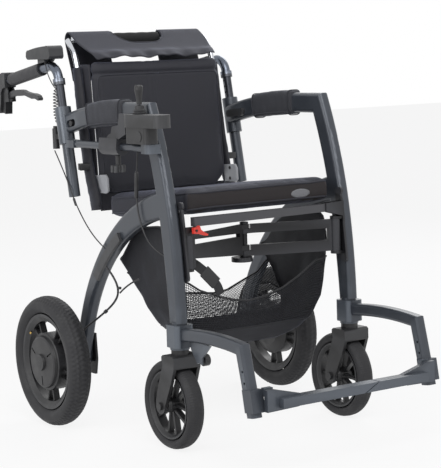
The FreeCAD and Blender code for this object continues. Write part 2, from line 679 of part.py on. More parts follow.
def hinge_plate(side, label):
    """Flat bar on a front leg with the two ears and the pin of the fold's side hinge."""
    bar = body("HingePlate")
    face = on_plane(bar, "YZ", dict(z=d.hinge_x + 12.6))
    outline(face, [(-56, 392), (-48, 384, 8), (-38, 386), (-31, 396, 12), (-19, 545), (-27, 560, 14), (-36, 560),
                   (-38, 545, 8), (-47, 470, 400)])
    pad(bar, face, d.frame_x - d.tube_width / 2 - d.hinge_x - 12.9)
    for low in (d.link_low - 7, d.link_high + 0.4):
        ear = on_plane(bar, "XY", dict(z=low))
        reach = d.hinge_x + 13.4
        knuckle = d.knuckle_radius
        outline(ear, [(reach, d.hinge_y - knuckle), (d.hinge_x, d.hinge_y - knuckle), (d.hinge_x, d.hinge_y + knuckle, -knuckle),
                      (reach, d.hinge_y + knuckle)])
        pad(bar, ear, 6.6)
    pin = circle(on_plane(bar, "XY", dict(z=d.link_low - 8)), d.pin_radius, d.hinge_x, d.hinge_y)
    pad(bar, pin, d.link_high - d.link_low + 17)
    if side > 0:
        front, back = d.rail_front_y - 3.6, d.rail_front_y + d.rail_deep + 0.4
        for y, thick in ((front, 3.2), (back, 2)):
            cheek = on_plane(bar, "XZ", dict(z=-y))
            outline(cheek, [(d.rail_pin_x - 9, d.rail_low + 3), (d.rail_pin_x - 9, d.rail_high + 2),
                            (d.rail_pin_x + 43, d.rail_high + 4), (d.rail_pin_x + 43, d.rail_low - 12),
                            (d.rail_pin_x + 10, d.rail_low - 3)])
            pad(bar, cheek, thick, back=True)
        web = on_plane(bar, "XZ", dict(z=-front))
        outline(web, [(d.rail_pin_x + 14, d.rail_low - 4), (d.rail_pin_x + 14, d.rail_high + 2),
                      (d.rail_pin_x + 43, d.rail_high + 4), (d.rail_pin_x + 43, d.rail_low - 12)])
        pad(bar, web, d.rail_deep + 6, back=True)
        axis = circle(on_plane(bar, "XZ", dict(z=-front)), 3.5, d.rail_pin_x, d.rail_low + 11)
        pad(bar, axis, d.rail_deep + 6, back=True)
        finish(label, bar)
        return
    shoe = on_plane(bar, "XZ", dict(z=-d.rail_front_y))
    outline(shoe, [(187, d.rail_low - 8), (d.hinge_x + 13, d.rail_low - 12), (d.hinge_x + 13, d.rail_low - 0.5),
                   (189, d.rail_low - 0.5)])
    pad(bar, shoe, 9, back=True)
    pin = circle(on_plane(bar, "XZ", dict(z=-d.rail_front_y - 1)), 2.5, 203, d.rail_low - 7)
    pad(bar, pin, 18)
    doc.recompute()
    put(bar, y=d.front_axle_y)
    subparts["plate"] = bar
    mirror(label, "plate")
    del subparts["plate"]


def fold_link(side, label):
    """Ladder-shaped arm from a side hinge to the middle pin; the two arms' knuckles interleave."""
    reach_x, reach_y = d.hinge_x, d.apex_y - d.hinge_y
    length = math.hypot(float(reach_x), float(reach_y))
    swing = math.degrees(math.atan2(float(reach_y), float(reach_x)))
    arm = body("FoldLink")
    low, high, knuckle, half = d.link_low, d.link_high, d.knuckle_radius, d.link_bar_width / 2
    barrel = circle(on_plane(arm, "XY", dict(z=low)), knuckle)
    pad(arm, barrel, high - low)
    start, end = knuckle - 3, length - 14.5
    if side < 0:
        bars = ([(start, low + 21), (end, low + 4), (end, low + 48), (start, low + 51)],
                [(start, high - 11), (end, high - 19), (end, high + 1), (start, high)])
    else:
        bars = ([(start, low), (end, low), (end, low + d.lower_bar), (start, low + d.lower_bar)],
                [(start, high - d.upper_bar), (end, high - d.upper_bar), (end, high), (start, high)])
    for corners in bars:
        pad(arm, outline(on_plane(arm, "XZ"), corners), d.link_bar_width, middle=True)
    for floor, tall in ((low, d.lower_bar), (high - d.upper_bar, d.upper_bar)):
        step = tall / 2 + 0.2 if side < 0 else 0
        tab = outline(on_plane(arm, "XY", dict(z=floor + step)),
                      [(length - 17, -half), (length, -knuckle), (length, knuckle, knuckle), (length - 17, half)])
        pad(arm, tab, tall / 2 - 0.2)
    stile = outline(on_plane(arm, "XY", dict(z=low)), [(knuckle - 3, -half), (knuckle + 8, -half),
                                                      (knuckle + 8, half), (knuckle - 3, half)])
    pad(arm, stile, high - low)
    if side < 0:
        upright = outline(on_plane(arm, "XY", dict(z=low + 4)), [(length - 26, -half), (length - 14.5, -half),
                                                                (length - 14.5, half), (length - 26, half)])
        pad(arm, upright, high - low - 4)
    doc.recompute()
    bore = circle(on_plane(arm, "XY", dict(z=low - 1)), d.pin_radius + 0.06)
    pocket(arm, bore, high - low + 2, back=True)
    if side < 0:
        post = circle(on_plane(arm, "XY", dict(z=low - 4)), d.apex_pin_radius, length)
        pad(arm, post, high - low + 10)
        foot = circle(on_plane(arm, "XY", dict(z=low - 11)), 25, length - 12)
        pad(arm, foot, 10.4)
        head = circle(on_plane(arm, "XY", dict(z=high + 0.4)), d.apex_pin_radius + 3, length)
        pad(arm, head, 5)
    else:
        eye = circle(on_plane(arm, "XY", dict(z=low - 1)), d.apex_pin_radius + 0.3, length)
        pocket(arm, eye, high - low + 2, back=True)
    finish(label, arm, x=d.hinge_x * side, y=d.hinge_y, axis=Z, angle=swing if side < 0 else 180 - swing)


def front_rail():
    """Cross rail below the seat's front edge: pinned at the left, latched at the right."""
    rail = body("FrontRail")
    side = on_plane(rail, "XZ", dict(z=-d.rail_front_y))
    eye = d.rail_pin_x
    outline(side, [(-198, d.rail_low), (eye, d.rail_low + 2), (eye, d.rail_low + 20, 9), (-198, d.rail_high)])
    pad(rail, side, d.rail_deep, back=True)
    doc.recompute()
    hole = circle(on_plane(rail, "XZ", dict(z=-d.rail_front_y + 1)), 3.56, eye, d.rail_low + 11)
    pocket(rail, hole, d.rail_deep + 2)
    return finish("front_rail", rail)


def latch_lever():
    """Red finger lever that frees the front rail."""
    lever = body("LatchLever")
    side = on_plane(lever, "XZ", dict(z=-d.rail_front_y + 14))
    outline(side, [(-209, 491), (-196, 490), (-174, 484, 60), (-172, 488, 3), (-190, 499, -60), (-193, 508), (-198, 505),
                   (-209, 504)])
    pad(lever, side, 9, back=True)
    doc.recompute()
    hole = circle(on_plane(lever, "XZ", dict(z=-d.rail_front_y + 16)), 2.56, -203, d.rail_low - 7)
    pocket(lever, hole, 14)
    return finish("latch_lever", lever)


def seat_cushion():
    """Seat pad; it slopes down to the back."""
    pad_body = body("SeatCushion")
    front, rear, thick = d.seat_front_y, d.seat_rear_y, d.seat_thick
    side = outline(on_plane(pad_body, "YZ"), [(front, d.seat_front_top - thick), (front, d.seat_front_top),
                                             (rear, d.seat_rear_top), (rear, d.seat_rear_top - thick)])
    pad(pad_body, side, d.seat_half * 2, middle=True)
    soften(pad_body, lambda e: True, size(9))
    return finish("seat_cushion", pad_body)


def back_cushion():
    """Back panel with its roll at the top and the plain band that closes the gap below it."""
    panel = body("BackCushion")
    low_y, low_z, thick = d.back_low_y, d.back_low_z, d.back_thick
    rise, run = d.back_height, d.back_height * math.tan(math.radians(float(d.back_lean)))
    side = outline(on_plane(panel, "YZ"), [(low_y, low_z), (low_y + thick, low_z), (low_y + run + thick, low_z + rise),
                                          (low_y + run, low_z + rise)])
    pad(panel, side, d.back_half * 2, middle=True)
    soften(panel, lambda e: True, size(9))
    band = outline(on_plane(panel, "YZ"), [(low_y + 12, 512), (low_y + 20, 512), (low_y + 22, low_z + 12), (low_y + 14, low_z + 12)])
    pad(panel, band, d.back_half * 2 - 4, middle=True)
    return finish("back_cushion", panel)


def back_post():
    """Side member of the lift-off back: bent tube, cloth sleeve, side plate and hook."""
    post = body("BackPost")
    x = d.back_post_x
    sleeve = on_plane(post, "YZ", dict(z=x - 8))
    outline(sleeve, [(370, 512), (416, 512), (446, 660), (462, 800), (468, 862), (440, 862), (420, 700), (398, 560), (372, 548)])
    pad(post, sleeve, 14)
    plate = on_plane(post, "YZ", dict(z=x - 8))
    outline(plate, [(342, 560), (350, 556, 8), (396, 556), (408, 600), (352, 602), (343, 594, 8)])
    pad(post, plate, 3)
    bend = on_plane(post, "YZ", dict(z=x - 1))
    outline(bend, [(452, 858), (462, 884), (486, 918, -70), (497, 929)], closed=False)
    ring = on_plane(post, "XY", dict(x=x - 1, y=452, z=858, axis=X, angle=-21))
    circle(ring, d.back_tube_radius - 1.5)
    pipe(post, ring, bend)
    hook = on_plane(post, "XY", dict(z=612))
    outline(hook, [(x + 5, 400), (x + 30, 404), (x + 30, 411), (x + 22, 411), (x + 22, 432), (x + 5, 436)])
    pad(post, hook, 16)
    return finish("left_back_post", post)


def back_flap():
    """Cloth folded over the top bar, with a cut-out over the carry grip."""
    flap = body("BackFlap")
    sheet_side = on_plane(flap, "YZ")
    outline(sheet_side, [(398, 884), (436, 905, -160), (508, 950), (527, 926, -16), (516, 893), (498, 845), (494, 846), (512, 894),
                         (522, 926), (507, 945.5, 14), (438, 901), (401, 881, 150)])
    pad(flap, sheet_side, 386, middle=True)
    doc.recompute()
    notch = on_plane(flap, "XY", dict(z=980))
    outline(notch, [(-68, 540), (-68, 480), (-44, 456, 24), (44, 456), (68, 480, 24), (68, 540)])
    pocket(flap, notch, 70)
    return finish("back_flap", flap)


def carry_grip():
    """Top bar of the back with its foam grip."""
    bar = body("CarryGrip")
    pad(bar, circle(on_plane(bar, "YZ"), d.back_tube_radius), 372, middle=True)
    pad(bar, circle(on_plane(bar, "YZ"), d.back_tube_radius + 5), 132, middle=True)
    return finish("carry_grip", bar, y=503, z=930)


def basket():
    """Sagging cloth bag under the seat, open at the top."""
    bag = body("Basket")
    skin = 2
    levels = ((208, 46, 112, 95), (232, 26, 142, 160), (300, 6, 180, 203), (352, 0, 230, 209), (400, -8, 280, 212))
    walls = []
    for z, front, rear, half in levels:
        walls.append(rounded_rectangle(on_plane(bag, "XY", dict(z=z)), size(half), size(front), size(rear), size(26)))
    loft(bag, walls)
    doc.recompute()
    hollow = []
    for z, front, rear, half in levels:
        lift = 3 if z == levels[0][0] else 0
        top = 2 if z == levels[-1][0] else 0
        hollow.append(rounded_rectangle(on_plane(bag, "XY", dict(z=z + lift + top)), size(half - skin), size(front + skin),
                                        size(rear - skin), size(24)))
    inside = bag.newObject("PartDesign::SubtractiveLoft", "Inside")
    inside.Profile = hollow[0]
    inside.Sections = hollow[1:]
    inside.Ruled = True
    doc.recompute()
    for face in (levels[-1][3] - skin, -levels[-1][3]):
        cheek = on_plane(bag, "YZ", dict(z=face))
        outline(cheek, [(16, 396), (levels[-1][2] - 26, 396), (levels[-1][2] - 30, 415), (150, 492, -260), (30, 500)])
        pad(bag, cheek, skin)
    return finish("basket", bag)


def footrest():
    """Swing-away hanger and the flip-up footplate on its block."""
    hanger = body("Hanger")
    inner = d.post_radius + d.running_gap
    block = on_plane(hanger, "XY", dict(y=-d.trail, z=d.post_foot_z + 5.4))
    rounded_rectangle(block, size(24), size(-26), size(24), size(11))
    pad(hanger, block, 50.6)
    spine = on_plane(hanger, "YZ")
    arm_z = d.hanger_arm_z
    outline(spine, [(-d.trail - 20, arm_z), (d.hanger_corner_y, arm_z, 900),
                    (d.hanger_tube_foot_y, d.hanger_tube_foot_z)], closed=False)
    profile = on_plane(hanger, "XZ")
    profile.AttachmentOffset = App.Placement(App.Vector(0, float(arm_z), float(d.trail) + 20), App.Rotation())
    rounded_rectangle(profile, d.hanger_width / 2, -d.hanger_depth / 2, d.hanger_depth / 2, size(7))
    pipe(hanger, profile, spine, mitred=True)
    carrier = on_plane(hanger, "YZ")
    outline(carrier, [(-336, 139), (-305, 136), (-296, 184), (-327, 187)])
    pad(hanger, carrier, 32, middle=True)
    pin_x = d.plate_pin_x - d.frame_x
    lug = outline(on_plane(hanger, "XZ", dict(z=336)), [(pin_x - 9, 171), (pin_x + 12, 171), (pin_x + 12, 189), (pin_x - 9, 189)])
    pad(hanger, lug, 13, back=True)
    doc.recompute()
    pivot = circle(on_plane(hanger, "XZ", dict(z=338)), 5.06, pin_x, d.plate_pin_z)
    pocket(hanger, pivot, 18)
    bore = circle(on_plane(hanger, "XY", dict(y=-d.trail, z=d.post_foot_z)), inner)
    pocket(hanger, bore, 70, back=True)
    for step in range(2):
        hole = circle(on_plane(hanger, "YZ"), 3, -296 - 6 * step, 222 - 24 * step)
        pocket(hanger, hole, 40, middle=True)
    finish("left_footrest_hanger", hanger, x=d.frame_x)


def footplate(side, label):
    """Flip-up footplate; the two plates meet in a scarf joint just left of the middle."""
    plate = body("Footplate")
    low, high, outer, sign = d.strip_low, d.strip_high, d.plate_pin_x + 16, side
    front = on_plane(plate, "XZ", dict(z=-d.strip_front_y))
    scarf = 18 + (d.scarf_gap if side > 0 else 0)
    outline(front, [(scarf, low), ((outer - 30) * sign, low), ((outer - 30) * sign, high), (scarf + 38, high)])
    pad(plate, front, d.strip_deep, back=True)
    gusset = on_plane(plate, "XZ", dict(z=-d.strip_front_y - d.strip_deep + 13))
    outline(gusset, [(outer * sign, low - 7), (outer * sign, high + 20), ((outer - 18) * sign, high + 20),
                     ((outer - 98) * sign, high - 1), ((outer - 98) * sign, low), ((outer - 80) * sign, low - 5)])
    pad(plate, gusset, 12.4, back=True)
    pin = circle(on_plane(plate, "XZ", dict(z=-d.strip_front_y - d.strip_deep + 12)), 5, d.plate_pin_x * sign,
                 d.plate_pin_z)
    pad(plate, pin, 26, back=True)
    return finish(label, plate)


def hanger_roller():
    """Small kerb roller under the right hanger."""
    wheel = body("Roller")
    pad(wheel, circle(on_plane(wheel, "YZ"), 13), 13, middle=True)
    doc.recompute()
    pocket(wheel, circle(on_plane(wheel, "YZ"), 3.06), 20, middle=True)
    return finish("hanger_roller", wheel, x=-d.frame_x + 14, y=-115, z=218)


def joystick():
    """Joystick box with its bar, clamp, knob, boot and stick, on the right armrest."""
    x, z, radius = -d.joy_bar_x, d.joy_bar_z, d.joy_bar_radius
    bar = body("JoystickBar")
    spine = on_plane(bar, "XY", dict(z=z))
    outline(spine, [(x, 352), (x, 22), (x + 18, 4, 18), (x + 18.6, 4)], closed=False)
    ring = on_plane(bar, "XZ")
    ring.AttachmentOffset = App.Placement(App.Vector(float(x), float(z), -352), App.Rotation())
    circle(ring, radius)
    pipe(bar, ring, spine)
    lug = outline(on_plane(bar, "XY", dict(z=z - 9)), [(x - 10, 336), (x - 10, 372), (x + 12, 404), (x + 24, 407),
                                                      (x + 24, 392), (x + 12, 336)])
    pad(bar, lug, 18)
    elbow = outline(on_plane(bar, "XY", dict(z=z - 12)), [(x - 11, 26), (x - 11, 8), (x + 4, -9, 16), (x + 18.6, -9),
                                                          (x + 18.6, 26)])
    pad(bar, elbow, 21)
    finish("joystick_bar", bar)

    clamp = body("JoystickBracket")
    grip = on_plane(clamp, "XZ", dict(z=-124))
    outline(grip, [(x - 18, z - 2), (x + 18, z - 2, 18), (x + 15, z + 20), (x - 15, z + 20)])
    pad(clamp, grip, 80, back=True)
    arm = on_plane(clamp, "YZ", dict(z=x - 14))
    outline(arm, [(86, z + 30), (118, z + 18), (172, z + 18), (152, z + 30, 24), (146, z + 46), (118, z + 50), (112, z + 76),
                  (86, z + 76)])
    pad(clamp, arm, 22)
    doc.recompute()
    hole = on_plane(clamp, "XZ", dict(z=-110))
    circle(hole, radius + 0.2, x, z)
    pocket(clamp, hole, 110)
    screw = circle(on_plane(clamp, "XY", dict(z=z - 22)), 3.06, x, 146)
    pocket(clamp, screw, 10, back=True)
    finish("joystick_bracket", clamp)

    knob = body("ClampKnob")
    pad(knob, circle(on_plane(knob, "XY", dict(z=-22)), 6), 22)
    star = circle(on_plane(knob, "XY", dict(z=-38)), 12)
    pad(knob, star, 16)
    lobe = pad(knob, circle(on_plane(knob, "XY", dict(z=-38)), 5, 13), 16)
    ring_of(knob, lobe, 5)
    pad(knob, circle(on_plane(knob, "XY"), 3), 8)
    finish("clamp_knob", knob, x=x, y=146, z=z - 20.6)

    pod, centre = body("JoystickHousing"), x - 4
    plan = on_plane(pod, "XY", dict(z=z + 46.4))
    outline(plan, [(centre - 21, 60, 30), (centre - 21, -50), (centre + 21, -50, 21), (centre + 21, 60), (centre + 12, 83.5, 30),
                   (centre - 12, 83.5)])
    pad(pod, plan, 29)
    under = on_plane(pod, "XY", dict(x=centre, z=z + radius + 1.6))
    rounded_rectangle(under, size(18), size(-14), size(78), size(12))
    pad(pod, under, 46.4 - radius)
    socket = circle(on_plane(pod, "YZ", dict(z=centre - 19)), 12, 16, z + 27)
    pad(pod, socket, 4)
    finish("joystick_housing", pod)

    boot = body("JoystickBoot")
    lathe(boot, [(0, 0), (15, 0), (15.5, 3), (13, 5), (13.5, 8), (11, 11), (10, 19), (0, 21)])
    finish("joystick_boot", boot, x=x, y=d.stick_y + 24, z=z + 75.8)
    stick = body("JoystickStick")
    lathe(stick, [(0, 0), (6, 0), (6.4, 10), (7.6, 20), (9.8, 32), (9.6, 39), (7.5, 42.4), (0, 43)])
    finish("joystick_stick", stick, x=x, y=d.stick_y + 24, z=z + 97.2)


def arch_box():
    """Slim ribbed box of the drive electronics on the outside of the right arch."""
    case = body("ArchBox")
    face = on_plane(case, "YZ", dict(z=-d.frame_x - d.tube_width / 2 - 8))
    corners = []
    for radius, turn in ((d.arch_radius - 3, 57), (d.arch_radius - 25, 57), (d.arch_radius - 25, 38), (d.arch_radius - 3, 38)):
        angle = math.radians(turn)
        corners.append((d.arch_centre_y + radius * math.cos(angle), d.arch_centre_z + radius * math.sin(angle)))
    corners[2] += (-(d.arch_radius - 25),)
    corners[0] += (d.arch_radius - 3,)
    outline(face, corners)
    pad(case, face, 7.7)
    return finish("arch_box", case)


def route_tube(label, points, diameter, loose=True):
    """A cable along straight runs joined by tangent arcs, each as large as its two runs allow."""
    nodes = [App.Vector(*p) for p in points]
    edges, radii, last = [], [], nodes[0]
    for before, here, after in zip(nodes, nodes[1:], nodes[2:]):
        into, out = (here - before).normalize(), (after - here).normalize()
        turn = into.getAngle(out)
        run = min((here - before).Length, (after - here).Length)
        reach = 0.45 * run
        radii.append(reach / math.tan(turn / 2))
        start, end = here - into * reach, here + out * reach
        bisector = (out - into).normalize()
        middle = here + bisector * (radii[-1] / math.cos(turn / 2) - radii[-1])
        edges += [Part.LineSegment(last, start).toShape(), Part.Arc(start, middle, end).toShape()]
        last = end
    edges.append(Part.LineSegment(last, nodes[-1]).toShape())
    wire = Part.Wire(edges)
    direction = (nodes[1] - nodes[0]).normalize()
    ring = Part.Wire([Part.Circle(nodes[0], direction, diameter / 2).toShape()])
    tube = wire.makePipeShell([ring], True, False)
    length = wire.Length
    share = tube.Volume / (math.pi * diameter ** 2 / 4 * length)
    print("%s: %.0f mm long, smallest radius %.1f, volume share %.3f" % (label, length, min(radii), share))
    return tube


def cable(label, *tubes):
    feature = doc.addObject("Part::Feature", "Cable")
    feature.Shape = tubes[0] if len(tubes) == 1 else Part.makeCompound(list(tubes))
    return finish(label, feature)


def sleeve_on(start, end, radius):
    """A straight plug or tie on a cable, from one point to another."""
    run = App.Vector(*end) - App.Vector(*start)
    return Part.makeCylinder(radius, run.Length, App.Vector(*start), run)


def cables():
    stalk = route_tube("joystick_cable", [(-262.4, 74, 691.8), (-260.6, 89, 640), (-260.6, 97, 546), (-260.6, 69, 486),
                                          (-260.6, 28, 453), (-243, 6, 437)], 4)
    plug = sleeve_on((-260.6, 90.2, 626), (-260.6, 95.3, 566), 4.6)
    cable("joystick_cable", stalk.fuse(plug))
    thin = route_tube("brake_cable", [(-263.4, 470, 661), (-263.4, 412, 592), (-263.4, 374, 531), (-263.4, 296, 459),
                                      (-259.6, 250, 438)], 3)
    clip = sleeve_on((-263.4, 385, 548.5), (-263.4, 374.5, 531.5), 3)
    cable("brake_cable", thin.fuse(clip))
    main = route_tube("motor_cables", [(-259.5, 248, 393), (-257, 226, 379), (-250, 208, 343), (-251, 226, 310),
                                       (-262, 300, 262), (-262, 384, 222), (-266, 398, 169)], 5)
    branch = route_tube("motor_cables branch", [(-246, 120, 377), (-246, 176, 358), (-250, 205, 335)], 4)
    ties = [sleeve_on((-250, 207, 349), (-250, 207.6, 344), 5), sleeve_on((-256, 262, 286.5), (-256.9, 268, 282.6), 4.5)]
    whole = main.fuse([branch] + ties)
    cable("motor_cables", whole)


def coil_cable():
    """Curly lead from the control box to the plug on the frame, as a tube of its outer size."""
    curls = sleeve_on((-d.handle_x.number, 487, 727), (-d.handle_x.number, 484, 812), 6.6)
    lead = route_tube("coil_cable lead", [(-d.handle_x.number - 4, 484, 811), (-252.4, 486, 822), (-262.2, 489, 846),
                                          (-262.2, 505, 883.4)], 2.4)
    cable("coil_cable", curls.fuse(lead))
    plug = body("Plug")
    barrel = pad(plug, circle(on_plane(plug, "XY", dict(z=-58)), 8.5), 50)
    pad(plug, circle(on_plane(plug, "XY", dict(z=-8)), 6), 6)
    arm = outline(on_plane(plug, "XY", dict(z=-34)), [(-4, -32), (4, -32), (4, -6), (-4, -6)])
    pad(plug, arm, 12)
    finish("cable_connector", plug, x=-d.handle_x, y=491, z=722)


def export():
    os.makedirs("parts", exist_ok=True)
    doc.recompute()
    for thing in doc.Objects:
        if "Invalid" in thing.State or "Error" in thing.State:
            raise RuntimeError("%s (%s) failed" % (thing.Name, thing.Label))
    for label, thing in subparts.items():
        shape = thing.Shape
        if shape.isNull() or not shape.isValid() or not shape.Solids:
            raise RuntimeError("%s has no valid shape" % label)
    for label, thing in subparts.items():
        thing.Shape.exportStep("parts/%s.step" % label)
    print("%d sub-parts" % len(subparts))


pairs = ("side_frame", "arm_pad", "rear_tyre", "rear_wheel", "axle_plate", "caster_fork", "caster_tyre",
         "caster_wheel", "height_lock", "height_tube", "handle_bar", "hand_grip", "brake_housing",
         "brake_lever", "back_post", "footrest_hanger")


def build():
    side_frame()
    arm_pad()
    rear_wheel()
    axle_plate()
    caster_parts()
    height_lock()
    handle()
    back_post()
    footrest()
    doc.recompute()
    for name in pairs:
        mirror("right_" + name, "left_" + name)
    roller_bracket()
    hinge_plate(1, "left_hinge_plate")
    hinge_plate(-1, "right_hinge_plate")
    fold_link(-1, "right_link")
    fold_link(1, "left_link")
    front_rail()
    latch_lever()
    seat_cushion()
    back_cushion()
    back_flap()
    carry_grip()
    basket()
    footplate(-1, "right_footplate")
    footplate(1, "left_footplate")
    hanger_roller()
    joystick()
    control_box()
    arch_box()
    cables()
    coil_cable()


build()
export()
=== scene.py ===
import math

import bmesh
import bpy
from mathutils import Matrix, Vector, noise
from mathutils.bvhtree import BVHTree


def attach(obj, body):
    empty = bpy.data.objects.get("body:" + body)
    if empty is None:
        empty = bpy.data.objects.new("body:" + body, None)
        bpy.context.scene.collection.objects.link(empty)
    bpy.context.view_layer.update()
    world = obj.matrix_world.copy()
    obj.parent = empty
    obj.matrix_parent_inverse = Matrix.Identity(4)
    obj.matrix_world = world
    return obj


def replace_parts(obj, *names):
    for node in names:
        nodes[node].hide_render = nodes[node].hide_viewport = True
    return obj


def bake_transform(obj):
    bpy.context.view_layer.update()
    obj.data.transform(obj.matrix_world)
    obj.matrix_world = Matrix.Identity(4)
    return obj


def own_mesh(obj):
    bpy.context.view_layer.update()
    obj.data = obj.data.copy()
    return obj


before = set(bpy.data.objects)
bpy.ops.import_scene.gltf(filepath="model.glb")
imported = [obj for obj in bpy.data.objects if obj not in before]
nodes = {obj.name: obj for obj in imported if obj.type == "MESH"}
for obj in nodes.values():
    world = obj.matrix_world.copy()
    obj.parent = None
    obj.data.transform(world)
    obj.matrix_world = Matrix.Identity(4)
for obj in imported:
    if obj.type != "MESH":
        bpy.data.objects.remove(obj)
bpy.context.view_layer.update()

scene = bpy.context.scene
scene.view_settings.view_transform = "Standard"
axleShift = 211.5  # mm from the chair's origin to the front axle
sides = (("right", -1), ("left", 1))  # the sitter's sides, and the sign of X there


def at(x, y, z):  # millimetres, with Y from the front axle, to metres in the chair's frame
    return Vector((x, y - axleShift, z)) / 1000


def hexColour(code):  # an sRGB hex value to linear
    values = [int(code[i:i + 2], 16) / 255 for i in (1, 3, 5)]
    return [v / 12.92 if v <= 0.04045 else ((v + 0.055) / 1.055) ** 2.4 for v in values] + [1.0]


def addNode(tree, kind, settings=None, inputs=None):
    node = tree.nodes.new("ShaderNode" + kind)
    for name, value in (settings or {}).items():
        setattr(node, name, value)
    for name, value in (inputs or {}).items():
        if isinstance(value, bpy.types.NodeSocket):
            tree.links.new(value, node.inputs[name])
        else:
            node.inputs[name].default_value = value
    return node


# Camera, at the photograph's viewpoint
viewpoint = {
    "place": (-2.129, -3.2405, 0.901),
    "azimuth": -33.84,
    "elevation": 6.65,
    "roll": -1.99,
    "lens": 123.79,
    "sensorHeight": 36,
}


def aimCamera(view):
    azimuth, elevation, roll = (math.radians(view[k]) for k in ("azimuth", "elevation", "roll"))
    back = Vector((math.sin(azimuth) * math.cos(elevation), -math.cos(azimuth) * math.cos(elevation),
                   math.sin(elevation)))
    right = (-back).cross(Vector((0, 0, 1))).normalized()
    up = right.cross(-back)
    across = right * math.cos(roll) + up * math.sin(roll)
    upward = up * math.cos(roll) - right * math.sin(roll)
    lens = bpy.data.cameras.new("studio_camera")
    lens.sensor_fit = "VERTICAL"
    lens.sensor_height = view["sensorHeight"]
    lens.lens = view["lens"]
    camera = bpy.data.objects.new("studio_camera", lens)
    turn = Matrix((across, upward, back)).transposed().to_4x4()
    turn.translation = Vector(view["place"])
    camera.matrix_world = turn
    scene.collection.objects.link(camera)
    scene.camera = camera


# Plain studio: one large soft lamp over the front, two weaker ones, a pale floor
studio = {
    "lamps": (
        ("key_lamp", (-1.2, -2.6, 3.0), 2.6, 60),
        ("side_lamp", (-3.2, -0.4, 1.6), 1.8, 28),
        ("rear_lamp", (2.2, 1.8, 2.6), 2.0, 30),
    ),
    "aim": (0, 0, 0.45),
    "surround": 0.42,
    "floorColour": "#f2f2f4",
    "floorHalf": 14,
    "floorGlow": 0.86,
}


def seenRay(tree):  # 1 for the camera's own rays and those that gloss or glass sends on
    rays = addNode(tree, "LightPath")
    either = addNode(tree, "Math", {"operation": "MAXIMUM"},
                     {0: rays.outputs["Is Camera Ray"], 1: rays.outputs["Is Glossy Ray"]})
    return addNode(tree, "Math", {"operation": "MAXIMUM"},
                   {0: either.outputs[0], 1: rays.outputs["Is Transmission Ray"]}).outputs[0]


def lightStudio(look):
    for name, place, width, power in look["lamps"]:
        lamp = bpy.data.lights.new(name, "AREA")
        lamp.shape = "DISK"
        lamp.size = width
        lamp.energy = power
        holder = bpy.data.objects.new(name, lamp)
        holder.location = place
        toward = Vector(look["aim"]) - Vector(place)
        holder.rotation_euler = toward.to_track_quat("-Z", "Y").to_euler()
        scene.collection.objects.link(holder)
    world = bpy.data.worlds.new("studio_surround")
    scene.world = world
    world.use_nodes = True
    tree = world.node_tree
    tree.nodes.clear()
    dim = addNode(tree, "Background", inputs={"Color": (1, 1, 1, 1), "Strength": look["surround"]})
    white = addNode(tree, "Background", inputs={"Color": (1, 1, 1, 1), "Strength": 1.0})
    both = addNode(tree, "MixShader",
                   inputs={0: seenRay(tree), 1: dim.outputs[0], 2: white.outputs[0]})
    addNode(tree, "OutputWorld", inputs={"Surface": both.outputs[0]})

    floorMaterial = bpy.data.materials.new("paleStudioPaper")
    floorMaterial.use_nodes = True
    tree = floorMaterial.node_tree
    tree.nodes.clear()
    paper = addNode(tree, "BsdfDiffuse", inputs={"Color": hexColour(look["floorColour"])})
    glow = addNode(tree, "Emission", inputs={"Color": (1, 1, 1, 1), "Strength": 1.0})
    share = addNode(tree, "Math", {"operation": "MULTIPLY"},
                    {0: seenRay(tree), 1: look["floorGlow"]})
    lit = addNode(tree, "MixShader",
                  inputs={0: share.outputs[0], 1: paper.outputs[0], 2: glow.outputs[0]})
    addNode(tree, "OutputMaterial", inputs={"Surface": lit.outputs[0]})
    half = look["floorHalf"]
    mesh = bpy.data.meshes.new("studio_floor")
    corners = [(-half, -half, 0), (half, -half, 0), (half, half, 0), (-half, half, 0)]
    mesh.from_pydata(corners, [], [(0, 1, 2, 3)])
    mesh.materials.append(floorMaterial)
    floor = bpy.data.objects.new("studio_floor", mesh)
    scene.collection.objects.link(floor)


aimCamera(viewpoint)
lightStudio(studio)
print("studio set")


# Materials, each from what the real one is and how its surface was made
def startMaterial(name, shader):
    material = bpy.data.materials.new(name)
    material.use_nodes = True
    tree = material.node_tree
    tree.nodes.clear()
    surface = addNode(tree, "BsdfPrincipled", inputs=shader)
    addNode(tree, "OutputMaterial", inputs={"Surface": surface.outputs[0]})
    place = addNode(tree, "TexCoord").outputs["Object"]
    return material, tree, surface, place


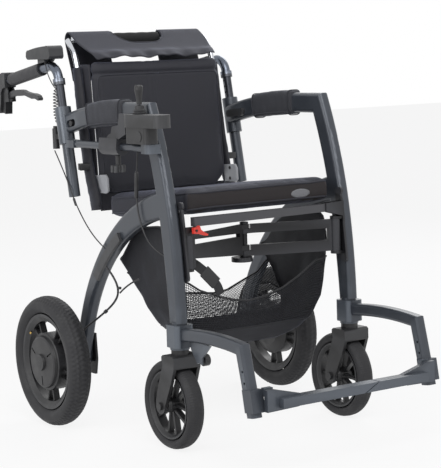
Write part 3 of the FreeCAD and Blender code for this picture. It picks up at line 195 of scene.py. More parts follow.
def finishSurface(name, look):
    # Tones are the dark, the light and a painted highlight along the edges; gloss is uneven and the bump has
    # a fine grain
    dark, light, edgeHighlightTone = map(hexColour, look["tones"])
    shader = {"Roughness": look["roughness"], "Metallic": look.get("metallic", 0.0),
              "IOR": look.get("ior", 1.5)}
    if "coat" in look:
        shader["Coat Weight"] = look["coat"]
        shader["Coat Roughness"] = look["coatRoughness"]
    material, tree, surface, place = startMaterial(name, shader)
    cloud = addNode(tree, "TexNoise",
                    inputs={"Vector": place, "Scale": 1000 / look["cloudMm"], "Detail": 4.0})
    tone = addNode(tree, "Mix", {"data_type": "RGBA"},
                   {0: cloud.outputs["Fac"], 6: dark, 7: light})
    # Convex edges are mixed towards the third tone: a lighter painted highlight along the edges
    edge = addNode(tree, "NewGeometry").outputs["Pointiness"]
    fadeAndEdgeHighlight = addNode(tree, "MapRange", inputs={0: edge, 1: 0.53, 2: 0.62, 3: 0.0, 4: look["edgeHighlightShare"]})
    edgeHighlighted = addNode(tree, "Mix", {"data_type": "RGBA"},
                     {0: fadeAndEdgeHighlight.outputs[0], 6: tone.outputs[2], 7: edgeHighlightTone})
    tree.links.new(edgeHighlighted.outputs[2], surface.inputs["Base Color"])
    gloss = addNode(tree, "MapRange",
                    inputs={0: cloud.outputs["Fac"], 1: 0.3, 2: 0.7,
                            3: look["roughness"] - look["uneven"], 4: look["roughness"] + look["uneven"]})
    tree.links.new(gloss.outputs[0], surface.inputs["Roughness"])
    grain = addNode(tree, "TexNoise",
                    inputs={"Vector": place, "Scale": 1000 / look["grainMm"], "Detail": 2.0})
    relief = addNode(tree, "Bump", inputs={"Strength": look["grainStrength"], "Distance": 0.0004,
                                                     "Height": grain.outputs["Fac"]})
    tree.links.new(relief.outputs[0], surface.inputs["Normal"])
    return material


def wovenCloth(name, look):
    # Crossing threads from two sines of the place; tones are the gaps, the threads and where it has faded
    gap, thread, fadeAndEdgeHighlight = map(hexColour, look["tones"])
    material, tree, surface, place = startMaterial(name, {
        "Roughness": look["roughness"], "IOR": 1.5, "Sheen Weight": look["sheen"],
        "Sheen Roughness": 0.45, "Sheen Tint": hexColour(look["sheenTint"])})
    axes = addNode(tree, "SeparateXYZ", inputs={0: place})
    pace = 2 * math.pi * 1000 / look["threadMm"]
    run = addNode(tree, "Math", {"operation": "ADD"}, {0: axes.outputs[1], 1: axes.outputs[2]})
    waves = []
    for way in (axes.outputs[0], run.outputs[0]):
        turn = addNode(tree, "Math", {"operation": "MULTIPLY"}, {0: way, 1: pace})
        waves.append(addNode(tree, "Math", {"operation": "SINE"}, {0: turn.outputs[0]}).outputs[0])
    cross = addNode(tree, "Math", {"operation": "MULTIPLY"}, {0: waves[0], 1: waves[1]})
    height = addNode(tree, "MapRange", inputs={0: cross.outputs[0], 1: -1.0, 2: 1.0, 3: 0.0, 4: 1.0})
    fade = addNode(tree, "TexNoise",
                   inputs={"Vector": place, "Scale": 1000 / look["cloudMm"], "Detail": 3.0})
    woven = addNode(tree, "Mix", {"data_type": "RGBA"}, {0: height.outputs[0], 6: gap, 7: thread})
    faded = addNode(tree, "Mix", {"data_type": "RGBA"},
                    {0: fade.outputs["Fac"], 6: woven.outputs[2], 7: fadeAndEdgeHighlight})
    tree.links.new(faded.outputs[2], surface.inputs["Base Color"])
    relief = addNode(tree, "Bump", inputs={"Strength": look["relief"], "Distance": 0.0005,
                                                     "Height": height.outputs[0]})
    tree.links.new(relief.outputs[0], surface.inputs["Normal"])
    return material


# Powder-coated aluminium tube: a satin dark blue-grey with a faint orange peel of 0.5 mm, drawn coarser
powderCoat = finishSurface("powderCoatedTube", {
    "tones": ("#3a3e45", "#464b53", "#6d747d"), "edgeHighlightShare": 0.5, "metallic": 0.35,
    "roughness": 0.36, "uneven": 0.05, "cloudMm": 60, "grainMm": 2.2, "grainStrength": 0.10,
    "coat": 0.25, "coatRoughness": 0.25})
# Powder-coated steel plate: near black, a little duller than the tube
blackCoat = finishSurface("blackCoatedSteel", {
    "tones": ("#151517", "#1d1d20", "#4a4b50"), "edgeHighlightShare": 0.5, "metallic": 0.2,
    "roughness": 0.42, "uneven": 0.06, "cloudMm": 40, "grainMm": 2.0, "grainStrength": 0.12})
# The front rail's powder coat: the same black, faded to a neutral dark grey
railCoat = finishSurface("powderCoatedRail", {
    "tones": ("#303033", "#3b3b3e", "#5d5d61"), "edgeHighlightShare": 0.5, "metallic": 0.2,
    "roughness": 0.45, "uneven": 0.05, "cloudMm": 40, "grainMm": 2.0, "grainStrength": 0.10})
# Anodised drawn aluminium: a grey metal with soft long highlights
anodisedTube = finishSurface("anodisedDrawnTube", {
    "tones": ("#5c616b", "#737984", "#a9aeb8"), "edgeHighlightShare": 0.4, "metallic": 1.0,
    "roughness": 0.30, "uneven": 0.06, "cloudMm": 30, "grainMm": 3.0, "grainStrength": 0.05})
# The same tube anodised dark grey, for the height tubes
darkTube = finishSurface("anodisedDarkTube", {
    "tones": ("#3b3d42", "#4a4c52", "#85878d"), "edgeHighlightShare": 0.4, "metallic": 0.85,
    "roughness": 0.36, "uneven": 0.06, "cloudMm": 30, "grainMm": 3.0, "grainStrength": 0.05})
# Chromed steel rod: bright, nearly a mirror
chromedRod = finishSurface("chromedSteelRod", {
    "tones": ("#b9bcc2", "#d4d6da", "#eceef0"), "edgeHighlightShare": 0.3, "metallic": 1.0,
    "roughness": 0.12, "uneven": 0.03, "cloudMm": 25, "grainMm": 4.0, "grainStrength": 0.02})
# Turned brass, seen only as a glint on the valves
turnedBrass = finishSurface("turnedBrass", {
    "tones": ("#9a7a3c", "#c9a55a", "#e8cf8c"), "edgeHighlightShare": 0.4, "metallic": 1.0,
    "roughness": 0.28, "uneven": 0.04, "cloudMm": 6, "grainMm": 1.5, "grainStrength": 0.05})
# Glass-filled nylon, injection moulded: near black, dull, with a spark-eroded grain drawn at 1.2 mm
glassNylon = finishSurface("mouldedGlassNylon", {
    "tones": ("#1b1b1d", "#242426", "#4a4b4e"), "edgeHighlightShare": 0.45, "roughness": 0.46,
    "uneven": 0.07, "cloudMm": 22, "grainMm": 1.2, "grainStrength": 0.16, "ior": 1.53})
# The same nylon unfilled and in grey, for the plates at the foot of the back
greyNylon = finishSurface("mouldedGreyNylon", {
    "tones": ("#9c9ea3", "#b2b4b8", "#c9cbce"), "edgeHighlightShare": 0.4, "roughness": 0.45,
    "uneven": 0.05, "cloudMm": 18, "grainMm": 1.4, "grainStrength": 0.10, "ior": 1.53})
# Gloss ABS, injection moulded in red: clean highlights and even colour
redPlastic = finishSurface("mouldedRedPlastic", {
    "tones": ("#c41f14", "#dc2a1c", "#f0594b"), "edgeHighlightShare": 0.4, "roughness": 0.26,
    "uneven": 0.04, "cloudMm": 14, "grainMm": 3.0, "grainStrength": 0.03, "ior": 1.54})
# Vulcanised tyre rubber: flat charcoal with a dusty bloom
tyreRubber = finishSurface("vulcanisedTyreRubber", {
    "tones": ("#1e1e20", "#2b2b2e", "#45454a"), "edgeHighlightShare": 0.5, "roughness": 0.66,
    "uneven": 0.08, "cloudMm": 26, "grainMm": 1.6, "grainStrength": 0.18, "ior": 1.52})
# Moulded soft rubber for grips, boot and cable jackets
softRubber = finishSurface("mouldedSoftRubber", {
    "tones": ("#202022", "#2a2a2d", "#434347"), "edgeHighlightShare": 0.4, "roughness": 0.55,
    "uneven": 0.07, "cloudMm": 20, "grainMm": 1.4, "grainStrength": 0.14, "ior": 1.52})
# Closed-cell foam sleeve: matt, with pores drawn at 1.8 mm
foamSleeve = finishSurface("closedCellFoam", {
    "tones": ("#161617", "#232325", "#333336"), "edgeHighlightShare": 0.3, "roughness": 0.85,
    "uneven": 0.06, "cloudMm": 12, "grainMm": 1.8, "grainStrength": 0.45, "ior": 1.5})
# Coated oxford cloth, woven: dark with a bluish sheen; its 0.5 mm threads are drawn at 2.6 mm to show
seatCloth = wovenCloth("wovenOxfordCloth", {
    "tones": ("#1b1b21", "#2b2c35", "#24242a"), "roughness": 0.72, "sheen": 0.30,
    "sheenTint": "#b9c0dc", "threadMm": 2.6, "cloudMm": 45, "relief": 0.35})
# Spacer mesh on the seat's front border: browner and rougher, its holes drawn at 3.6 mm
borderCloth = wovenCloth("knittedSpacerMesh", {
    "tones": ("#151314", "#332f30", "#262224"), "roughness": 0.85, "sheen": 0.2,
    "sheenTint": "#c9b8ae", "threadMm": 3.6, "cloudMm": 30, "relief": 0.6})
# Stretch nylon sleeve over the back's tubes, a finer weave drawn at 2 mm
sleeveCloth = wovenCloth("wovenStretchNylon", {
    "tones": ("#131318", "#22222a", "#1a1a20"), "roughness": 0.68, "sheen": 0.35,
    "sheenTint": "#aab2d0", "threadMm": 2.0, "cloudMm": 35, "relief": 0.3})
# Neoprene-backed jersey round the armrests, a knit drawn at 1.8 mm
padCloth = wovenCloth("knittedPadJersey", {
    "tones": ("#242529", "#34353b", "#2c2d32"), "roughness": 0.8, "sheen": 0.28,
    "sheenTint": "#c0c4d2", "threadMm": 1.8, "cloudMm": 40, "relief": 0.3})
# Bag cloth, woven nylon of the basket's sides, drawn at 2.4 mm
bagCloth = wovenCloth("wovenBagNylon", {
    "tones": ("#0e0e11", "#1d1d22", "#151519"), "roughness": 0.7, "sheen": 0.25,
    "sheenTint": "#a8aec4", "threadMm": 2.4, "cloudMm": 40, "relief": 0.35})
# Polyester webbing and tape, with its ribs drawn at 2.2 mm
webbing = wovenCloth("wovenWebbing", {
    "tones": ("#0d0d0f", "#242428", "#17171a"), "roughness": 0.6, "sheen": 0.3,
    "sheenTint": "#c8c8d0", "threadMm": 2.2, "cloudMm": 30, "relief": 0.7})
# Plain grey felt of the tag, its fibres drawn at 1.6 mm
greyFelt = wovenCloth("grayFeltTag", {
    "tones": ("#6c6d71", "#8a8b8f", "#7b7c80"), "roughness": 0.85, "sheen": 0.2,
    "sheenTint": "#d0d0d4", "threadMm": 1.6, "cloudMm": 20, "relief": 0.3})
print("materials made")


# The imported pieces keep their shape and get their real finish
finishes = {
    "side_frame": powderCoat, "footrest_hanger": powderCoat, "footplate": powderCoat,
    "hinge_plate": blackCoat, "axle_plate": blackCoat, "link": blackCoat,
    "height_tube": darkTube, "handle_bar": anodisedTube, "hand_grip": softRubber,
    "height_lock": glassNylon, "brake_housing": glassNylon, "brake_lever": glassNylon,
    "caster_fork": glassNylon, "rear_wheel": glassNylon, "caster_wheel": glassNylon,
}
singleFinishes = {
    "front_rail": railCoat, "joystick_bar": powderCoat, "joystick_bracket": blackCoat,
    "arch_box": glassNylon, "clamp_knob": glassNylon, "joystick_housing": glassNylon,
    "joystick_stick": glassNylon, "control_box": glassNylon, "cable_connector": glassNylon,
    "joystick_boot": softRubber, "hanger_roller": softRubber, "latch_lever": redPlastic,
}


paired = {side + "_" + ending: material for side, sign in sides for ending, material in finishes.items()}
for name, material in (paired | singleFinishes).items():
    slots = nodes[name].data.materials
    for index in range(len(slots)):
        slots[index] = material
    if not slots:
        slots.append(material)
print("frame pieces painted")


def workMesh(mesh, step):  # one step of mesh work, done in place
    shape = bmesh.new()
    shape.from_mesh(mesh)
    step(shape)
    shape.to_mesh(mesh)
    shape.free()


def facesOut(shape):
    bmesh.ops.recalc_face_normals(shape, faces=shape.faces)


def weld(shape):  # joins the points that lie on each other
    bmesh.ops.remove_doubles(shape, verts=shape.verts, dist=1e-6)


def skinRows(rows, closed=False, caps=False):  # quads between rows of points
    width = len(rows[0])
    faces = []
    for r in range(len(rows) - 1):
        for c in range(width if closed else width - 1):
            after = (c + 1) % width
            faces.append((r * width + c, r * width + after, (r + 1) * width + after, (r + 1) * width + c))
    if caps:
        last = (len(rows) - 1) * width
        faces.append(tuple(reversed(range(width))))
        faces.append(tuple(range(last, last + width)))
    mesh = bpy.data.meshes.new("rows")
    mesh.from_pydata([tuple(p) for row in rows for p in row], [], faces)
    mesh.update()
    return mesh


def addPiece(name, mesh, material, body=None):
    mesh.name = name
    mesh.materials.clear()
    mesh.materials.append(material)
    mesh.polygons.foreach_set("use_smooth", [True] * len(mesh.polygons))
    workMesh(mesh, facesOut)
    piece = bpy.data.objects.new(name, mesh)
    scene.collection.objects.link(piece)
    if body:
        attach(piece, body)
    return piece


def settle(piece):  # the modifiers' result becomes the mesh
    bpy.context.view_layer.update()
    shown = piece.evaluated_get(bpy.context.evaluated_depsgraph_get())
    mesh = bpy.data.meshes.new_from_object(shown)
    piece.modifiers.clear()
    piece.data = mesh
    mesh.polygons.foreach_set("use_smooth", [True] * len(mesh.polygons))


def thicken(piece, thick):  # a sheet becomes cloth that many millimetres thick
    cloth = piece.modifiers.new("cloth", "SOLIDIFY")
    cloth.thickness = thick / 1000
    settle(piece)


def foldsFlat(piece):  # the cloth between the sides gets its own copy of its mesh
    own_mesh(piece)


def foldingPiece(name, mesh, material):
    piece = addPiece(name, mesh, material, "right_side")
    foldsFlat(piece)
    return piece


def along(table, x):  # straight steps between a table's points
    for (x0, v0), (x1, v1) in zip(table, table[1:]):
        if x <= x1:
            share = min(1, max(0, (x - x0) / (x1 - x0)))
            return v0 + (v1 - v0) * share
    return table[-1][1]


def smoothPath(points, steps):  # an even curve through points; each stretch leans on the points beside it
    padded = [points[0] * 2 - points[1]] + list(points) + [points[-1] * 2 - points[-2]]
    path = []
    for a, b, c, e in zip(padded, padded[1:], padded[2:], padded[3:]):
        for i in range(steps):
            t = i / steps
            path.append(0.5 * (2 * b + (c - a) * t + (2 * a - 5 * b + 4 * c - e) * t * t
                               + (3 * b - a - 3 * c + e) * t ** 3))
    path.append(points[-1].copy())
    return path


def heading(path, i, loop=False):  # a path's direction at one of its points
    count = len(path)
    before = path[i - 1] if loop or i else path[0]
    after = path[(i + 1) % count] if loop or i < count - 1 else path[-1]
    return (after - before).normalized()


def circle(radius, steps):
    turns = [2 * math.pi * k / steps for k in range(steps)]
    return [(radius * math.cos(turn), radius * math.sin(turn)) for turn in turns]


def sweep(path, ring, side=Vector((1, 0, 0))):  # rows of a ring carried along a path
    rows = []
    for i, point in enumerate(path):
        tangent = heading(path, i)
        upward = tangent.cross(side).normalized()
        across = upward.cross(tangent).normalized()
        rows.append([point + across * a + upward * b for a, b in ring(i / (len(path) - 1))])
    return rows


def cordMesh(path, radius, loop=False):  # a thin round tube that turns as little as it can along its path
    rows, upward = [], None
    for i, point in enumerate(path):
        tangent = heading(path, i, loop)
        hint = upward
        if hint is None:
            hint = Vector((0, 0, 1)) if abs(tangent.z) < 0.9 else Vector((1, 0, 0))
        upward = (hint - tangent * hint.dot(tangent)).normalized()
        across = tangent.cross(upward)
        rows.append([point + across * a + upward * b for a, b in circle(radius, 10)])
    if loop:
        rows.append(rows[0])
    mesh = skinRows(rows, closed=True, caps=not loop)
    if loop:
        workMesh(mesh, weld)
    return mesh


def latheMesh(profile, centre, axis, steps=32):  # (along, radius) pairs turned round an axis
    axis = Vector(axis).normalized()
    hint = Vector((0, 0, 1)) if abs(axis.z) < 0.9 else Vector((0, 1, 0))
    first = axis.cross(hint).normalized()
    second = axis.cross(first)
    rows = []
    for place, radius in profile:
        ring = circle(max(radius, 1e-5), steps)
        rows.append([centre + axis * place + first * a + second * b for a, b in ring])
    return skinRows(rows, closed=True, caps=True)


def plateMesh(corners, lift, bevel):  # an outline of points, thickened along a vector, edges broken
    mesh = bpy.data.meshes.new("plate")
    shape = bmesh.new()
    face = shape.faces.new([shape.verts.new(p) for p in corners])
    grown = bmesh.ops.extrude_face_region(shape, geom=[face])
    raised = [g for g in grown["geom"] if isinstance(g, bmesh.types.BMVert)]
    bmesh.ops.translate(shape, vec=lift, verts=raised)
    facesOut(shape)
    bmesh.ops.bevel(shape, geom=list(shape.edges), offset=bevel, segments=3, profile=0.5, affect="EDGES")
    shape.to_mesh(mesh)
    shape.free()
    return mesh


# Padding: the mesh is remeshed, swells under pressure, and no point moves further than the cap
def swell(piece, look):
    remesh = piece.modifiers.new("cells", "REMESH")
    remesh.mode = "VOXEL"
    remesh.voxel_size = look["cellMm"] / 1000
    settle(piece)
    start = [v.co.copy() for v in piece.data.vertices]
    cloth = piece.modifiers.new("swell", "CLOTH")
    cloth.settings.use_pressure = True
    cloth.settings.uniform_pressure_force = look["pressure"]
    cloth.settings.effector_weights.gravity = 0
    cloth.settings.quality = 5
    cloth.point_cache.frame_start = 1
    cloth.point_cache.frame_end = 20
    for step in range(1, 21):
        scene.frame_set(step)
    settle(piece)
    scene.frame_set(1)
    cap = look["capMm"] / 1000
    for vertex, old in zip(piece.data.vertices, start):
        move = vertex.co - old
        if move.length > cap:
            vertex.co = old + move * (cap / move.length)
    subdivide(piece)


def subdivide(piece):
    smooth = piece.modifiers.new("round", "SUBSURF")
    smooth.levels = 1
    smooth.render_levels = 1
    settle(piece)


def finishPad(pad, node):  # the last steps of a cushion: it goes with the right side and takes the imported part's place
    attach(pad, "right_side")
    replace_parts(pad, node)
    foldsFlat(pad)


def pressLines(piece, lines):  # each line: a plane's point and normal, its width and depth in mm
    mesh = piece.data
    normals = [v.normal.copy() for v in mesh.vertices]
    for point, normal, width, depth in lines:
        for vertex, outward in zip(mesh.vertices, normals):
            gap = (vertex.co - point).dot(normal) * 1000 / width
            if abs(gap) < 3:
                vertex.co -= outward * (depth / 1000 * math.exp(-gap * gap))


def seamOn(name, piece, points, radius, loop=False):  # a piping laid on a piece's surface, radius in mm
    radius /= 1000
    tree = BVHTree.FromObject(piece, bpy.context.evaluated_depsgraph_get())
    eased = []
    for point in points:
        place, normal = tree.find_nearest(point)[:2]
        eased.append(place + normal * radius * 0.35)
    count = len(eased)
    for smoothing in range(3):
        eased = [(eased[i - 1] + eased[i] * 2 + eased[(i + 1) % count]) / 4
                 if loop or 0 < i < count - 1 else eased[i] for i in range(count)]
    foldingPiece(name, cordMesh(eased, radius, loop), seatCloth)


# Seat cushion: a thick pad that slopes down to the back, piped round its top and bottom
seatLook = {
    "half": 205, "front": (-25, 583), "rear": (327, 552), "thick": 47, "corner": 11,
    "cellMm": 5, "pressure": 4, "capMm": 6, "pipingMm": 2.2, "pipingInset": 5, "pipingRound": 26,
    "pipingReach": 1.05, "pipingStep": 9, "puckerMm": 1.6, "puckerWithin": 50, "fill": 0.75,
}


def roundedOblong(look):  # points at even steps round the cushion's outline
    (frontY, frontZ), (rearY, rearZ) = look["front"], look["rear"]
    radius = look["pipingRound"]
    spanX = look["half"] - look["pipingInset"] - radius
    spanY = (rearY - frontY) / 2 - look["pipingInset"] - radius
    corners = []
    for cornerX, cornerY, start in ((1, 1, 0), (-1, 1, 90), (-1, -1, 180), (1, -1, 270)):
        for k in range(9):
            angle = math.radians(start + k * 90 / 8)
            corners.append((cornerX * spanX + radius * math.cos(angle),
                            (rearY + frontY) / 2 + cornerY * spanY + radius * math.sin(angle)))
    ring = []
    for (x0, y0), (x1, y1) in zip(corners, corners[1:] + corners[:1]):
        count = max(1, int(math.hypot(x1 - x0, y1 - y0) / look["pipingStep"]))
        for k in range(count):
            ring.append((x0 + (x1 - x0) * k / count, y0 + (y1 - y0) * k / count))
    return ring


def seatCushion(look):
    (frontY, frontZ), (rearY, rearZ) = look["front"], look["rear"]
    thick, half, reach = look["thick"], look["half"], look["pipingReach"]
    corners = [at(-half, frontY, frontZ - thick), at(-half, frontY, frontZ), at(-half, rearY, rearZ),
               at(-half, rearY, rearZ - thick)]
    mesh = plateMesh(corners, Vector((2 * half / 1000, 0, 0)), look["corner"] / 1000)
    pad = addPiece("seat_cushion_pad", mesh, seatCloth)
    swell(pad, look)
    for vertex in pad.data.vertices:  # gathers along the front edge
        pleat = noise.noise(Vector((vertex.co.x * 38, vertex.co.z * 9, 4.2)))
        near = max(0, 1 - abs(vertex.co.y - at(0, frontY, 0).y) * 1000 / look["puckerWithin"])
        vertex.co.z += look["puckerMm"] / 1000 * pleat * near
    pad.data.materials.append(borderCloth)
    for face in pad.data.polygons:
        if face.normal.y < -0.72:
            face.material_index = 1
    slope = (frontZ - rearZ) / (rearY - frontY)
    middle = (rearY + frontY) / 2
    for name, drop in (("seat_top_piping", -2), ("seat_bottom_piping", thick)):
        points = [at(x * reach, (y - middle) * reach + middle, frontZ - slope * (y - frontY) - drop)
                  for x, y in roundedOblong(look)]
        seamOn(name, pad, points, look["pipingMm"], loop=True)
    finishPad(pad, "seat_cushion")
    return pad


seatPad = seatCushion(seatLook)
print("seat cushion made")


# Back cushion: leans with its posts, with one sewn channel under the roll at its top
backLook = {
    "half": 188, "low": (382, 549), "lean": 4, "height": 328, "thick": 22, "corner": 9,
    "cellMm": 5, "pressure": 4, "capMm": 5, "channelShare": 0.9, "channelWidth": 5, "channelDeep": 4,
    "pipingMm": 1.8, "pipingRound": 22, "cutCorner": 30, "topRound": 14, "pipingInset": 8, "fill": 0.6,
    "bandHalf": 184, "bandZ": (510, 562), "bandThick": 3,
}


def backPiping(look, top):  # (x, z) of half the piping: along the channel, down the side, in at the foot
    edge, corner, cut = look["half"] - look["pipingInset"], look["pipingRound"], look["cutCorner"]
    path = [(edge * k / 12, top) for k in range(11)]
    for degrees in range(0, 91, 15):
        angle = math.radians(degrees)
        path.append((edge - corner + corner * math.sin(angle), top - corner + corner * math.cos(angle)))
    path += [(edge, top - corner - (top - corner - cut) * k / 14) for k in range(1, 15)]
    return path + [(edge - (cut - 6) * k / 4, cut - (cut - 8) * k / 4) for k in range(1, 5)]


def backCushion(look):
    lowY, lowZ = look["low"]
    rise, half, bend = look["height"], look["half"], look["topRound"]
    lean = math.radians(look["lean"])
    run = rise * math.tan(lean)
    face = [(half - look["cutCorner"], 0), (half, look["cutCorner"]), (half, rise - bend),
            (half - 0.3 * bend, rise - 0.3 * bend), (half - bend, rise)]
    face = face + [(-x, z) for x, z in reversed(face)]
    corners = [at(x, lowY + run * z / rise, lowZ + z) for x, z in face]
    mesh = plateMesh(corners, Vector((0, look["thick"] / 1000, 0)), look["corner"] / 1000)
    pad = addPiece("back_cushion_pad", mesh, seatCloth)
    swell(pad, look)
    across = Vector((1, 0, 0))
    channel = at(0, lowY + run * look["channelShare"], lowZ + rise * look["channelShare"])
    pressLines(pad, [(channel, Vector((0, math.sin(lean), math.cos(lean))), look["channelWidth"],
                      look["channelDeep"]),
                     (at(-34, 0, 0), across, 6, 0.9), (at(-12, 0, 0), across, 5, 0.7)])
    for name, sign in sides:
        laid = [at(sign * x, lowY + run * z / rise - 8, lowZ + z)
                for x, z in backPiping(look, rise * look["channelShare"])]
        seamOn("back_%s_piping" % name, pad, laid, look["pipingMm"])
    finishPad(pad, "back_cushion")
    bandLow, bandHigh = look["bandZ"]
    rows = []
    for z in range(bandLow, bandHigh, 6):  # the loose cloth under the pad, with a slight ripple
        y = lowY + 14 + (z - bandLow) * 0.05
        rows.append([at(x, y + 1.2 * math.sin(x * 0.11 + z * 0.05), z)
                     for x in range(-look["bandHalf"], look["bandHalf"] + 1, 8)])
    band = addPiece("back_lower_band", skinRows(rows), seatCloth, "right_side")
    thicken(band, look["bandThick"])
    foldsFlat(band)


backCushion(backLook)
print("back cushion made")


# Back flap: one cloth folded over the top bar, cut out round the carry grip
flapLook = {
    "profile": ((400, 882.5), (418, 895), (437, 903), (470, 924), (500, 943.5), (513, 948), (524, 938),
                (525, 924), (514, 892), (497, 846), (492, 828)),
    "half": 192, "hemHalf": 172, "taper": 78, "cell": 6, "notchHalf": 72, "notchRound": 52, "notchY": 457,
    "thick": 3.4, "wave": 2.6, "bindingMm": 2.4,
}


def backFlap(look):
    line = smoothPath([at(0, y, z) for y, z in look["profile"]], 12)
    lengths = [0]
    for a, b in zip(line, line[1:]):
        lengths.append(lengths[-1] + (b - a).length * 1000)
    total = lengths[-1]
    notchStart = next(s for s, p in zip(lengths, line) if p.y * 1000 + axleShift > look["notchY"])
    half, hemHalf, taper = look["half"], look["hemHalf"], look["taper"]
    bend = look["notchRound"]
    straight = look["notchHalf"] - bend

    def spot(s):
        for s0, s1, a, b in zip(lengths, lengths[1:], line, line[1:]):
            if s <= s1:
                return a.lerp(b, (s - s0) / (s1 - s0))
        return line[-1].copy()

    def depth(x, s):  # below zero in the cut-out, with the way out of it
        qx, qs = abs(x) - straight, notchStart + bend - s
        wayX, wayS = max(qx, 0), max(qs, 0)
        reach = math.hypot(wayX, wayS)
        if reach == 0:
            return max(qx, qs) - bend, (0, -1) if qs > qx else (math.copysign(1, x), 0)
        return reach - bend, (math.copysign(wayX / reach, x), -wayS / reach)

    rowsCount = round(total / look["cell"])
    columns = round(2 * half / look["cell"])
    spots = [[-half + 2 * half * c / columns, total * r / rowsCount]
             for r in range(rowsCount + 1) for c in range(columns + 1)]
    kept, dropped = [], []
    for r in range(rowsCount):
        for c in range(columns):
            corner = r * (columns + 1) + c
            face = (corner, corner + 1, corner + columns + 2, corner + columns + 1)
            middleX = sum(spots[i][0] for i in face) / 4
            middleS = sum(spots[i][1] for i in face) / 4
            (kept if depth(middleX, middleS)[0] >= 0 else dropped).append(face)
    for i in {i for f in kept for i in f} & {i for f in dropped for i in f}:
        gap, way = depth(*spots[i])
        spots[i][0] -= way[0] * gap
        spots[i][1] = min(total, spots[i][1] - way[1] * gap)
    points = []
    for x, s in spots:
        p = spot(s)
        narrow = hemHalf + (half - hemHalf) * min(1, s / taper)
        p.x = x * narrow / half / 1000
        hem = max(0, 1 - s / 40) + 0.5 * max(0, 1 - (total - s) / 30)
        ripple = (math.sin(x * 0.045) + 0.7 * math.sin(x * 0.11 + 1)
                  + 0.6 * noise.noise(Vector((x * 0.04, s * 0.05, 1))))
        p.z += look["wave"] / 1000 * hem * ripple
        p.y -= 0.6 * look["wave"] / 1000 * hem * ripple
        points.append(p)
    used = sorted({i for f in kept for i in f})
    place = {i: n for n, i in enumerate(used)}
    mesh = bpy.data.meshes.new("flap")
    mesh.from_pydata([tuple(points[i]) for i in used], [], [[place[i] for i in f] for f in kept])
    flap = addPiece("back_flap_cloth", mesh, seatCloth, "right_side")
    cloth = flap.modifiers.new("cloth", "SOLIDIFY")
    cloth.thickness = look["thick"] / 1000
    cloth.offset = 0
    subdivide(flap)
    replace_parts(flap, "back_flap")
    foldsFlat(flap)
    bottom = total - 6
    rim = [(-look["notchHalf"], bottom - (bottom - notchStart - bend) * k / 10) for k in range(10)]
    turn = []
    for k in range(19):
        angle = math.radians(180 + 180 * k / 18)
        turn.append(((k > 9) * straight - (k < 9) * straight + bend * math.cos(angle),
                     notchStart + bend + bend * math.sin(angle)))
    edge = []
    for x, s in rim + turn + [(-x, s) for x, s in reversed(rim)]:
        p = spot(s)
        p.x = x / 1000
        edge.append(p)
    foldingPiece("back_flap_binding", cordMesh(edge, look["bindingMm"] / 1000), sleeveCloth)


# Carry grip: the back's top bar with a foam sleeve between two end rings
gripLook = {"y": 503, "z": 930, "barRadius": 9, "barHalf": 185, "foamRadius": 14, "foamHalf": 66, "edge": 1}


def carryGrip(look):
    centre = at(0, look["y"], look["z"])
    bar, half, foam, wide, edge = (look[k] / 1000
                                   for k in ("barRadius", "barHalf", "foamRadius", "foamHalf", "edge"))
    profile = [(-half, bar - edge), (-half + edge, bar), (half - edge, bar), (half, bar - edge)]
    barPiece = foldingPiece("carry_bar", latheMesh(profile, centre, (1, 0, 0)), chromedRod)
    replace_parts(barPiece, "carry_grip")
    profile = []
    for k in range(41):
        place = -wide + 2 * wide * k / 40
        end = max(0, (abs(place) - wide + 0.004) / 0.004)
        profile.append((place, foam - 0.0035 * end * end - 0.0006 * math.cos(place * 90) ** 2))
    foldingPiece("carry_foam", latheMesh(profile, centre, (1, 0, 0)), foamSleeve)


carryGrip(gripLook)
backFlap(flapLook)
print("back flap and carry grip made")


# Back posts: a cloth sleeve on each tube, a chromed bend above it, a grey plate and a hook below
postLook = {
    "x": 200, "deepLow": 24, "deepHigh": 16, "wide": 9, "bendRadius": 7.5, "wrinkle": 1.1,
    "line": ((388, 514), (392, 545), (409, 590), (426, 660), (440, 750), (448, 810), (454, 860)),
    "bend": ((452, 852), (457, 870), (466, 893), (477, 908), (489, 921), (497, 928)),
    "plate": ((342, 562), (352, 556), (396, 556), (407, 598), (352, 602), (343, 592)), "plateIn": 13,
    "hook": ((5, 400), (30, 404), (30, 411), (22, 411), (22, 432), (5, 436)), "hookZ": 612,
    "wingX": 186, "wingZ": (560, 868), "wingGap": 14, "wingThick": 2.4, "rivetY": 372, "rivetZ": (565, 592),
}


